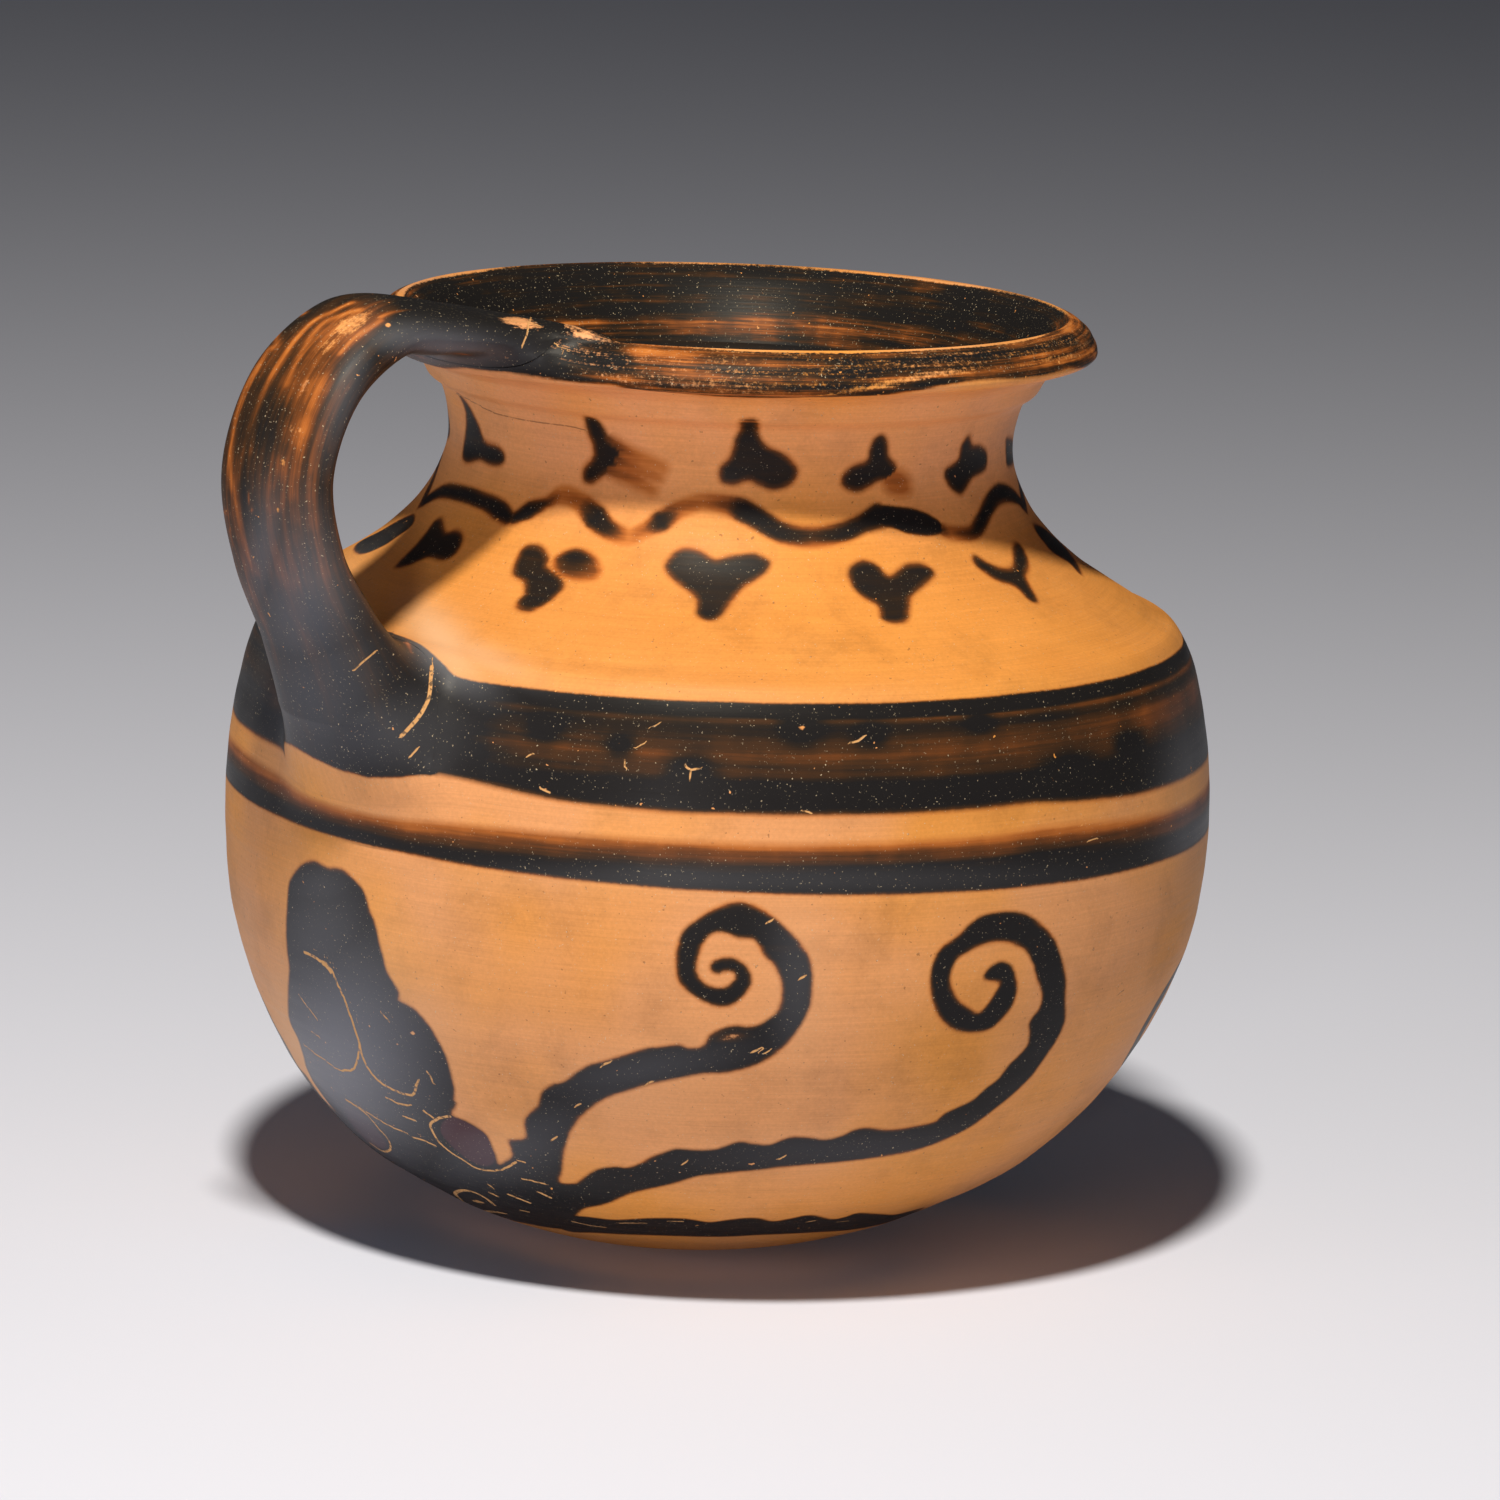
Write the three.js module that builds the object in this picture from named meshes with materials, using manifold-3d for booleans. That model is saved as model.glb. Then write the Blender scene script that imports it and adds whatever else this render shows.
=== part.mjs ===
// A one-handled clay mug: a round bowl on a small flat base, a drawn-in neck, a rolled lip and a strap handle.
// Millimetres, +Z up, the origin at the middle of the mouth's axis on the table, and the handle towards -X.
// The vessel is turned from one outer and one inner outline, parted at level joints into its formed sections.
// The handle is one swept strap, parted into the strap and the two lutes that join it to the lip and the belly.

import * as THREE from 'three';
import { mergeVertices } from 'three/addons/utils/BufferGeometryUtils.js';
import Module from 'manifold-3d';

const wasm = await Module();
wasm.setup();

// How much height each formed section adds, from the table up.
const discRise = 5.0;
const bowlRise = 48.8;
const bellyRise = 21.5;
const shoulderRise = 12.7;
const neckRise = 15.9;
const lipUnderRise = 3.9;
const lipFaceRise = 5.2;

// Outer radii, and how far the outline steps in or out from the one before it.
const restRadius = 18.0;
const discRadius = 32.0;
const bellyRadius = 60.0;
const shoulderInset = 4.7;
const waistRadius = 34.2;
const neckFootSpread = 3.7;
const lipFootSpread = 2.7;
const lipOverhang = 7.1;
const crestInset = 3.7;

// The wall, measured level across it at each joint and at the widest and narrowest girth.
const seatWall = 7.7;
const bellyWall = 4.0;
const shoulderWall = 7.0;
const neckFootWall = 4.3;
const waistWall = 3.6;
const lipFootWall = 3.7;

// The base settled a little to one side of the mouth while the clay was soft.
const baseDrift = 2.8;
const driftAngle = THREE.MathUtils.degToRad(135);

// The handle: its middle line, its strap and its two roots.
const handleStandoff = 12.9;
const crownLift = 1.0;
const crownDip = 2.2;
const upperRootDepth = 2.3;
const lowerRootDrop = 10.3;
const lowerRootDepth = 3.0;
const strapWidth = 17.0;
const strapThickness = 7.0;
const upperRootWidth = 25.0;
const upperRootThickness = 4.0;
const lowerRootWidth = 23.0;
const lowerRootThickness = 13.0;
const upperLuteReach = 2.2;
const lowerLuteRise = 2.0;

// Clearance between a lute and what it is pressed on, and between the strap and its lutes.
const seatGap = 0.3;

// Where the vessel is narrowest, and where the handle stands out furthest.
const waistHeightShare = 0.6;
const reachHeightShare = 0.684;

// Outline tables: for each point, its share of the run sideways and its share of the rise.
const discShares = [[0.5, 0.4], [1, 1]];
const bowlShares = [[0.393, 0.139], [0.721, 0.365], [0.946, 0.672], [1, 1]];
const bellyShares = [[0.362, 0.651], [1, 1]];
const shoulderShares = [[0.231, 0.197], [0.69, 0.6], [1, 1]];
const lowerNeckShares = [[0.797, 0.558], [1, 1]];
const upperNeckShares = [[0.37, 0.75], [1, 1]];
const lipUnderShares = [[0.5, 0.225], [0.9, 0.68], [1, 1]];
const lipFaceShares = [[0.27, 0.44], [0.66, 0.82], [1, 1]];
const lipInnerShares = [[0.3, 0.2], [0.75, 0.65], [1, 1]];

// Handle tables: the middle line's shares, then how much of each root's extra size a point has.
const archRunShares = [0, 0.2, 0.4, 0.63, 0.88];
const archLiftShares = [0, 0.5, 0.95, 1];
const archFallShare = 0.37;
const legShares = [[0.128, 0.3], [0.449, 0.56], [0.756, 0.79], [1, 1]];
const upperSpreadShares = [1, 0.375, 0.125, 0, 0, 0, 0, 0, 0, 0];
const lowerSpreadShares = [0, 0, 0, 0, 0, 0, 0, 0.1, 0.5, 1];
const upperThinShares = [1, 0.53, 0.13, 0, 0, 0, 0, 0, 0, 0];
const lowerThickShares = [0, 0, 0, 0, 0, 0, 0.07, 0.42, 1, 0.85];

// How finely the solids are divided.
const turnSteps = 72;
const outlineSteps = 2;
const strapSides = 20;
const strapRings = 18;
const luteRings = 7;
const strapRoundness = 0.8;

const discTop = discRise;
const bellyHeight = discTop + bowlRise;
const shoulderFoot = bellyHeight + bellyRise;
const neckFoot = shoulderFoot + shoulderRise;
const waistHeight = neckFoot + neckRise * waistHeightShare;
const lipFoot = neckFoot + neckRise;
const lipWidest = lipFoot + lipUnderRise;
const rimHeight = lipWidest + lipFaceRise;

const shoulderRadius = bellyRadius - shoulderInset;
const neckFootRadius = waistRadius + neckFootSpread;
const lipFootRadius = waistRadius + lipFootSpread;
const lipRadius = lipFootRadius + lipOverhang;
const crestRadius = lipRadius - crestInset;

const at = (radius, height) => new THREE.Vector2(radius, height);

// Points from one corner of an outline to the next, by shares of the run and the rise between them.
function onwards(from, to, shares) {
  return shares.map(([run, rise]) => at(
    THREE.MathUtils.lerp(from.x, to.x, run),
    THREE.MathUtils.lerp(from.y, to.y, rise),
  ));
}

// One smooth outline through named corners, as a function that gives the points between two of them.
function outline(corners, stretches) {
  const names = Object.keys(corners);
  const points = [corners[names[0]]];
  const places = { [names[0]]: 0 };
  stretches.forEach((shares, i) => {
    points.push(...onwards(corners[names[i]], corners[names[i + 1]], shares));
    places[names[i + 1]] = points.length - 1;
  });
  const curve = new THREE.SplineCurve(points);
  return (from, to) => Array.from(
    { length: (places[to] - places[from]) * outlineSteps + 1 },
    (_, k) => curve.getPoint((places[from] + k / outlineSteps) / (points.length - 1)),
  );
}

const outer = outline({
  rest: at(restRadius, 0),
  disc: at(discRadius, discTop),
  belly: at(bellyRadius, bellyHeight),
  shoulder: at(shoulderRadius, shoulderFoot),
  neck: at(neckFootRadius, neckFoot),
  waist: at(waistRadius, waistHeight),
  lip: at(lipFootRadius, lipFoot),
  widest: at(lipRadius, lipWidest),
  crest: at(crestRadius, rimHeight),
}, [
  discShares, bowlShares, bellyShares, shoulderShares,
  lowerNeckShares, upperNeckShares, lipUnderShares, lipFaceShares,
]);

const inner = outline({
  floor: at(discRadius - seatWall, discTop),
  belly: at(bellyRadius - bellyWall, bellyHeight),
  shoulder: at(shoulderRadius - shoulderWall, shoulderFoot),
  neck: at(neckFootRadius - neckFootWall, neckFoot),
  waist: at(waistRadius - waistWall, waistHeight),
  lip: at(lipFootRadius - lipFootWall, lipFoot),
}, [bowlShares, bellyShares, shoulderShares, lowerNeckShares, upperNeckShares]);

// The mouth's inner face, from the crest down to the joint of lip and neck.
const mouth = outline({
  crest: at(crestRadius, rimHeight),
  lip: at(lipFootRadius - lipFootWall, lipFoot),
}, [lipInnerShares]);

// The base's drift to one side: all of it at the table, none from the belly up.
function driftAt(height) {
  const below = Math.max(bellyHeight - height, 0) / bellyHeight;
  return baseDrift * below * below;
}

// Turns a closed outline about the upright axis, anticlockwise points giving faces that look outwards.
function turned(points) {
  const geometry = new THREE.LatheGeometry(points, turnSteps);
  geometry.rotateX(Math.PI / 2);
  const place = geometry.getAttribute('position');
  for (let i = 0; i < place.count; i += 1) {
    const drift = driftAt(place.getZ(i));
    place.setX(i, place.getX(i) + drift * Math.cos(driftAngle));
    place.setY(i, place.getY(i) + drift * Math.sin(driftAngle));
  }
  return geometry;
}

// A ring of wall: up its outer side, across its top, down its inner side and back across its foot.
function wallRing(outside, inside) {
  return turned([...outside, ...inside, outside[0]]);
}

function baseDisc() {
  return turned([at(0, 0), ...outer('rest', 'disc'), at(0, discTop)]);
}

function bowlRing() {
  return wallRing(outer('disc', 'belly'), inner('floor', 'belly').reverse());
}

function bellyRing() {
  return wallRing(outer('belly', 'shoulder'), inner('belly', 'shoulder').reverse());
}

function shoulderRing() {
  return wallRing(outer('shoulder', 'neck'), inner('shoulder', 'neck').reverse());
}

function neckRing() {
  return wallRing(outer('neck', 'lip'), inner('neck', 'lip').reverse());
}

function lipRing() {
  return wallRing(outer('lip', 'crest'), mouth('crest', 'lip').slice(1));
}

// The handle's middle line as radius and height: out over the lip, round the crown and down to the belly.
const crownHeight = rimHeight + crownLift;
const lowerRootHeight = shoulderFoot - lowerRootDrop;
const upperRoot = at(crestRadius - upperRootDepth, crownHeight - crownDip);
const reach = at(
  bellyRadius + handleStandoff,
  THREE.MathUtils.lerp(lowerRootHeight, crownHeight, reachHeightShare),
);
const lowerRoot = at(bellyRadius - lowerRootDepth, lowerRootHeight);

function middleLine() {
  const arch = archRunShares.map((run, i) => at(
    THREE.MathUtils.lerp(upperRoot.x, reach.x, run),
    i < archLiftShares.length
      ? upperRoot.y + crownDip * archLiftShares[i]
      : THREE.MathUtils.lerp(crownHeight, reach.y, archFallShare),
  ));
  return new THREE.SplineCurve([...arch, reach, ...onwards(reach, lowerRoot, legShares)]);
}

const handleLine = middleLine();

// A value along the handle from one entry for each point of its middle line, eased between them.
function along(shares, place) {
  const last = shares.length - 1;
  const index = Math.min(Math.floor(place * last), last - 1);
  return THREE.MathUtils.lerp(shares[index], shares[index + 1], place * last - index);
}

function widthAt(place) {
  return strapWidth
    + (upperRootWidth - strapWidth) * along(upperSpreadShares, place)
    + (lowerRootWidth - strapWidth) * along(lowerSpreadShares, place);
}

function thicknessAt(place) {
  return strapThickness
    + (upperRootThickness - strapThickness) * along(upperThinShares, place)
    + (lowerRootThickness - strapThickness) * along(lowerThickShares, place);
}

// One cross-section of the strap: a rounded oblong, square to the middle line.
function section(place) {
  const middle = handleLine.getPoint(place);
  const heading = handleLine.getTangent(place);
  const centre = new THREE.Vector3(-middle.x, 0, middle.y);
  const tangent = new THREE.Vector3(-heading.x, 0, heading.y);
  const across = new THREE.Vector3(0, 1, 0);
  const through = new THREE.Vector3().crossVectors(tangent, across);
  const rounded = (value) => Math.sign(value) * Math.abs(value) ** strapRoundness;
  return Array.from({ length: strapSides }, (_, k) => {
    const angle = (2 * Math.PI * k) / strapSides;
    return centre.clone()
      .addScaledVector(across, rounded(Math.cos(angle)) * widthAt(place) / 2)
      .addScaledVector(through, rounded(Math.sin(angle)) * thicknessAt(place) / 2);
  });
}

// A closed solid through the sections from one place on the handle to another.
function swept(from, to, rings) {
  const sections = Array.from({ length: rings + 1 }, (_, k) => section(
    THREE.MathUtils.lerp(from, to, k / rings),
  ));
  const middleOf = (points) => points.reduce((sum, p) => sum.add(p), new THREE.Vector3())
    .divideScalar(points.length);
  const points = [...sections.flat(), middleOf(sections[0]), middleOf(sections[rings])];
  const startMiddle = points.length - 2;
  const endMiddle = points.length - 1;
  const faces = [];
  for (let side = 0; side < strapSides; side += 1) {
    const next = (side + 1) % strapSides;
    faces.push(startMiddle, next, side);
    faces.push(endMiddle, rings * strapSides + side, rings * strapSides + next);
    for (let ring = 0; ring < rings; ring += 1) {
      const here = ring * strapSides;
      const there = here + strapSides;
      faces.push(here + side, here + next, there + side);
      faces.push(here + next, there + next, there + side);
    }
  }
  const geometry = new THREE.BufferGeometry().setFromPoints(points);
  geometry.setIndex(faces);
  return geometry;
}

// The place on the handle where a test first comes true, found by halving between two places.
function placeWhere(test, from, to) {
  let low = from;
  let high = to;
  for (let k = 0; k < 40; k += 1) {
    const middle = (low + high) / 2;
    if (test(handleLine.getPoint(middle))) high = middle;
    else low = middle;
  }
  return high;
}

const reachPlace = archRunShares.length / (archRunShares.length + legShares.length);
const upperSplit = placeWhere((p) => p.x > lipRadius + upperLuteReach, 0, reachPlace);
const lowerSplit = placeWhere((p) => p.y < shoulderFoot + lowerLuteRise, reachPlace, 1);
const halfGapShare = seatGap / 2 / handleLine.getLength();

function asSolid(geometry) {
  const bare = geometry.clone();
  bare.deleteAttribute('normal');
  bare.deleteAttribute('uv');
  const merged = mergeVertices(bare);
  return new wasm.Manifold(new wasm.Mesh({
    numProp: 3,
    vertProperties: new Float32Array(merged.getAttribute('position').array),
    triVerts: new Uint32Array(merged.getIndex().array),
  }));
}

function asGeometry(solid) {
  const mesh = solid.getMesh();
  const geometry = new THREE.BufferGeometry();
  geometry.setAttribute('position', new THREE.BufferAttribute(mesh.vertProperties, mesh.numProp));
  geometry.setIndex(new THREE.BufferAttribute(mesh.triVerts, 1));
  return geometry;
}

// The whole vessel as one filled solid, grown by the seat gap, and carried straight up from its crest.
function vesselSeat() {
  const skin = outer('rest', 'crest');
  const grown = skin.map((point, i) => {
    const before = skin[Math.max(i - 1, 0)];
    const after = skin[Math.min(i + 1, skin.length - 1)];
    const way = after.clone().sub(before).normalize();
    return at(point.x + way.y * seatGap, point.y - way.x * seatGap);
  });
  const clearHeight = crownHeight + strapThickness;
  return asSolid(turned([at(0, 0), ...grown, at(crestRadius, clearHeight), at(0, clearHeight)]));
}

function lute(from, to) {
  return asGeometry(asSolid(swept(from, to, luteRings)).subtract(vesselSeat()));
}

const upperLute = () => lute(0, upperSplit - halfGapShare);
const strap = () => swept(upperSplit + halfGapShare, lowerSplit - halfGapShare, strapRings);
const lowerLute = () => lute(lowerSplit + halfGapShare, 1);

const firedClay = () => new THREE.MeshStandardMaterial({ color: 0xc9824a, roughness: 0.6, metalness: 0 });
const figuredClay = () => new THREE.MeshStandardMaterial({ color: 0xb87644, roughness: 0.5, metalness: 0 });
const glossSlip = () => new THREE.MeshStandardMaterial({ color: 0x241a16, roughness: 0.35, metalness: 0 });

const mug = new THREE.Group();

function addPiece(name, geometry, material) {
  const piece = new THREE.Mesh(geometry, material);
  piece.name = name;
  mug.add(piece);
}

addPiece('base_disc', baseDisc(), firedClay());
addPiece('bowl_wall', bowlRing(), figuredClay());
addPiece('belly_wall', bellyRing(), figuredClay());
addPiece('shoulder', shoulderRing(), figuredClay());
addPiece('neck', neckRing(), figuredClay());
addPiece('lip', lipRing(), glossSlip());
addPiece('handle_upper_lute', upperLute(), glossSlip());
addPiece('handle_strap', strap(), glossSlip());
addPiece('handle_lower_lute', lowerLute(), glossSlip());

export default mug;
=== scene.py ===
# %% [markdown]
# # A black-figure mug
# This lesson dresses a plain model of an old drinking mug: orange fired clay, thrown on a wheel, with a
# strap handle, bands, two rows of leaves and a painted octopus in black gloss slip. The plain model, called
# the frame, gives every size and place. Each cell makes one thing, prints what it made, and leans on the
# cells before it.

# %% Load the frame
import math

import bpy
import numpy as np
from mathutils import Matrix, Vector
from mathutils.bvhtree import BVHTree


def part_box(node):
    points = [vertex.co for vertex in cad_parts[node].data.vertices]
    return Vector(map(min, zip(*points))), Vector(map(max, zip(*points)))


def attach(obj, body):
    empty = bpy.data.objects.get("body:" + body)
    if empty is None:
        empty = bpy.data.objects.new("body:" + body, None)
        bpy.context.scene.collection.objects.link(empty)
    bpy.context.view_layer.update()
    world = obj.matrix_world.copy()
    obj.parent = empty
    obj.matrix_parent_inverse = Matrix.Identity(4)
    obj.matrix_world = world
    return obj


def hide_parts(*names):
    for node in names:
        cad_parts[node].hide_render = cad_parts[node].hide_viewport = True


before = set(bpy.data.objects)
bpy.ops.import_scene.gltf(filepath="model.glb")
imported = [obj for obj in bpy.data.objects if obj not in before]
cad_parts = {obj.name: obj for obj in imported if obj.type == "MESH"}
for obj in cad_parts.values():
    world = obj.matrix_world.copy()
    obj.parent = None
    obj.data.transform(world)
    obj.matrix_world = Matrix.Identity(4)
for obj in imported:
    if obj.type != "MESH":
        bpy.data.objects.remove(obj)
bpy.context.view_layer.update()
MM = 0.001
print("frame pieces:", ", ".join(sorted(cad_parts)))

# %% [markdown]
# ## The outline of the thrown wall
# A potter's wheel makes a shape that one outline describes: how far out the wall stands at each height. The
# heights and most radii are read off the frame's boxes, so the clay stays where the frame has it. Between
# those corners a few shares say how the outline leans, and one smooth curve runs through all of them.

# %% Heights and radii, from the frame's boxes


def height_of(node):
    """The top of a frame piece, in millimetres."""
    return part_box(node)[1][2] / MM


def radius_of(node):
    """Half the width of a frame piece across the handle's direction, in millimetres."""
    low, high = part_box(node)
    return (high[1] - low[1]) / 2 / MM


DISC_TOP = height_of("base_disc")
GIRTH = height_of("bowl_wall")
SHOULDER_FOOT = height_of("belly_wall")
NECK_FOOT = height_of("shoulder")
LIP_FOOT = height_of("neck")
RIM = height_of("lip")
WAIST = NECK_FOOT + (LIP_FOOT - NECK_FOOT) * 0.6
LIP_WIDEST = RIM - 4.0

REST_RADIUS = 18.0
DISC_RADIUS = radius_of("base_disc")
GIRTH_RADIUS = radius_of("bowl_wall")
SHOULDER_RADIUS = radius_of("shoulder")
NECK_FOOT_RADIUS = radius_of("neck")
WAIST_RADIUS = 34.2
LIP_FOOT_RADIUS = 36.9
LIP_RADIUS = radius_of("lip")
CREST_RADIUS = LIP_RADIUS - 3.7

WALLS = {"floor": 7.7, "girth": 4.0, "shoulder": 7.0, "neck": 4.3, "waist": 3.6, "lip": 3.7}
DRIFT = 2.8
DRIFT_ANGLE = math.radians(135)
print(f"girth {GIRTH_RADIUS:.1f} at {GIRTH:.1f}, neck {NECK_FOOT_RADIUS:.1f} at {NECK_FOOT:.1f}")

# %% One smooth outline through the corners
DISC_SHARES = [(0.5, 0.4), (1, 1)]
BOWL_SHARES = [(0.393, 0.139), (0.721, 0.365), (0.946, 0.672), (1, 1)]
BELLY_SHARES = [(0.362, 0.651), (1, 1)]
SHOULDER_SHARES = [(0.231, 0.197), (0.69, 0.6), (1, 1)]
LOWER_NECK_SHARES = [(0.797, 0.558), (1, 1)]
UPPER_NECK_SHARES = [(0.37, 0.75), (1, 1)]
LIP_UNDER_SHARES = [(0.2, 0.46), (0.55, 0.7), (0.85, 0.8), (0.96, 0.9), (1, 1)]
LIP_FACE_SHARES = [(0.1, 0.3), (0.36, 0.66), (0.72, 0.9), (1, 1)]
LIP_INNER_SHARES = [(0.3, 0.2), (0.75, 0.65), (1, 1)]


def smooth(points, places):
    """Points on an even Catmull-Rom curve, at places counted along its points."""
    points = np.asarray(points, float)
    last = len(points) - 1
    start = np.clip(np.floor(places).astype(int), 0, last - 1)
    w = (np.asarray(places) - start)[:, None]
    a, b = points[np.maximum(start - 1, 0)], points[start]
    c, d = points[start + 1], points[np.minimum(start + 2, last)]
    lean_b, lean_c = (c - a) / 2, (d - b) / 2
    return ((2 * (b - c) + lean_b + lean_c) * w**3 + (3 * (c - b) - 2 * lean_b - lean_c) * w**2
            + lean_b * w + b)


class Outline:
    """A smooth outline through named corners, read as rows of radius, height and arc length."""

    DENSE = 60

    def __init__(self, corners, stretches):
        names = list(corners)
        points, self.corner_place = [corners[names[0]]], {names[0]: 0}
        for i, shares in enumerate(stretches):
            (x0, y0), (x1, y1) = corners[names[i]], corners[names[i + 1]]
            points += [(x0 + (x1 - x0) * run, y0 + (y1 - y0) * rise) for run, rise in shares]
            self.corner_place[names[i + 1]] = len(points) - 1
        self.place = np.linspace(0, len(points) - 1, (len(points) - 1) * self.DENSE + 1)
        self.line = smooth(points, self.place)
        steps = np.hypot(*np.diff(self.line, axis=0).T)
        self.arc = np.concatenate([[0], np.cumsum(steps)])

    def arc_at(self, corner):
        return float(np.interp(self.corner_place[corner], self.place, self.arc))

    def at(self, arc):
        """Radius and height at an arc length."""
        return np.stack([np.interp(arc, self.arc, self.line[:, k]) for k in (0, 1)], -1)

    def rows(self, start, end, spacing):
        """Evenly spaced arc lengths between two corners, both included."""
        a, b = self.arc_at(start), self.arc_at(end)
        return np.linspace(a, b, max(2, round(abs(b - a) / spacing) + 1))


skin = Outline({
    "rest": (REST_RADIUS, 0), "disc": (DISC_RADIUS, DISC_TOP), "girth": (GIRTH_RADIUS, GIRTH),
    "shoulder": (SHOULDER_RADIUS, SHOULDER_FOOT), "neck": (NECK_FOOT_RADIUS, NECK_FOOT),
    "waist": (WAIST_RADIUS, WAIST), "lip": (LIP_FOOT_RADIUS, LIP_FOOT),
    "widest": (LIP_RADIUS, LIP_WIDEST), "crest": (CREST_RADIUS, RIM),
}, [DISC_SHARES, BOWL_SHARES, BELLY_SHARES, SHOULDER_SHARES,
    LOWER_NECK_SHARES, UPPER_NECK_SHARES, LIP_UNDER_SHARES, LIP_FACE_SHARES])
lining = Outline({
    "floor": (DISC_RADIUS - WALLS["floor"], DISC_TOP), "girth": (GIRTH_RADIUS - WALLS["girth"], GIRTH),
    "shoulder": (SHOULDER_RADIUS - WALLS["shoulder"], SHOULDER_FOOT),
    "neck": (NECK_FOOT_RADIUS - WALLS["neck"], NECK_FOOT), "waist": (WAIST_RADIUS - WALLS["waist"], WAIST),
    "lip": (LIP_FOOT_RADIUS - WALLS["lip"], LIP_FOOT),
}, [BOWL_SHARES, BELLY_SHARES, SHOULDER_SHARES, LOWER_NECK_SHARES, UPPER_NECK_SHARES])
mouth = Outline({"crest": (CREST_RADIUS, RIM), "lip": (LIP_FOOT_RADIUS - WALLS["lip"], LIP_FOOT)},
                [LIP_INNER_SHARES])
print(f"outline {skin.arc[-1]:.1f} mm long, widest {skin.line[:, 0].max():.2f} mm from the axis")

# %% [markdown]
# ## A tree that turns a wall
# Every part of the pot is its own outline turned about the axis, which is a rule that Geometry Nodes follow
# well. The tree reads the closed outline from the object that carries it, lays a grid with one row for each
# outline point and one column for each step of the wheel, and wraps the grid round the axis. Later cells
# find the row and the turn of each point of the wall from its place.

# %% The finishes, still without their recipes
MATERIALS = {name: bpy.data.materials.new(name)
             for name in ("fired_orange_clay", "painted_clay", "slip_on_lip", "slip_on_handle")}
FINISHES = {"base_disc": ("bare_clay", "fired_orange_clay"), "lip": ("gloss_slip", "slip_on_lip")}
PAINTED = ("figured_clay", "painted_clay")
print("finishes to come:", ", ".join(MATERIALS))

# %% Helpers for building node trees


def add_node(tree, kind, inputs=(), **settings):
    """A new node with its settings made and its inputs linked or filled, by name or number."""
    node = tree.nodes.new(kind)
    for key, value in settings.items():
        setattr(node, key, value)
    for key, value in dict(inputs).items():
        socket = node.inputs[key]
        if isinstance(value, bpy.types.NodeSocket):
            tree.links.new(value, socket)
        else:
            socket.default_value = value
    return node


def reckon(tree, operation, *values, clamp=False):
    """The result of a math node."""
    node = add_node(tree, "ShaderNodeMath", dict(enumerate(values)), operation=operation, use_clamp=clamp)
    return node.outputs[0]


def times(tree, first, second):
    return reckon(tree, "MULTIPLY", first, second)


def plus(tree, first, second):
    return reckon(tree, "ADD", first, second)


def minus(tree, first, second):
    return reckon(tree, "SUBTRACT", first, second)


def vector_sum(tree, operation, *values, **named):
    """The result of a vector math node."""
    inputs = {**dict(enumerate(values)), **named}
    return add_node(tree, "ShaderNodeVectorMath", inputs, operation=operation).outputs[0]


def split(tree, vector):
    """The X, Y and Z of a vector."""
    return add_node(tree, "ShaderNodeSeparateXYZ", {0: vector}).outputs


def new_tree(name, kind, inputs, outputs):
    """A node tree with named inputs and outputs, what it is given, and the node that takes its results."""
    tree = bpy.data.node_groups.new(name, kind)
    for side, sockets in (("INPUT", inputs), ("OUTPUT", outputs)):
        for label, socket_type, *value in sockets:
            socket = tree.interface.new_socket(label, in_out=side, socket_type="NodeSocket" + socket_type)
            if value:
                socket.default_value = value[0]
    return tree, tree.nodes.new("NodeGroupInput").outputs, tree.nodes.new("NodeGroupOutput")


def deliver(tree, result, values):
    """Links values to the outputs of a node tree, by name."""
    for name, value in values.items():
        tree.links.new(value, result.inputs[name])


def sampled(tree, geometry, value, index, kind="FLOAT"):
    """The value that one point of a geometry has."""
    inputs = {"Geometry": geometry, "Value": value, "Index": index}
    return add_node(tree, "GeometryNodeSampleIndex", inputs, data_type=kind, domain="POINT").outputs[0]


def grid_over(tree, source, columns):
    """A grid with a row for each point of the source, as (mesh, share across, row number)."""
    size = add_node(tree, "GeometryNodeAttributeDomainSize", {"Geometry": source}, component="MESH")
    rows = size.outputs["Point Count"]
    grid = add_node(tree, "GeometryNodeMeshGrid", {
        "Size X": 1, "Size Y": 1, "Vertices X": plus(tree, columns, 1), "Vertices Y": rows})
    place = split(tree, add_node(tree, "GeometryNodeInputPosition").outputs[0])
    row = reckon(tree, "ROUND", times(tree, plus(tree, place["Y"], 0.5), minus(tree, rows, 1)))
    return grid.outputs["Mesh"], plus(tree, place["X"], 0.5), row


SEAM_WIDTH = 2e-6


def finished(tree, mesh, places, material, result):
    """Moves the grid, merges its seam and poles, smooths, sets the material and ends the tree."""
    moved = add_node(tree, "GeometryNodeSetPosition", {"Geometry": mesh, "Position": places})
    merged = add_node(tree, "GeometryNodeMergeByDistance", {
        "Geometry": moved.outputs[0], "Distance": SEAM_WIDTH})
    shaded = add_node(tree, "GeometryNodeSetShadeSmooth", {"Geometry": merged.outputs[0]})
    real = add_node(tree, "GeometryNodeRealizeInstances", {"Geometry": shaded.outputs[0]})
    coated = add_node(tree, "GeometryNodeSetMaterial", {"Geometry": real.outputs[0], "Material": material})
    tree.links.new(coated.outputs[0], result.inputs[0])


# %% The turned wall's tree


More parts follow.
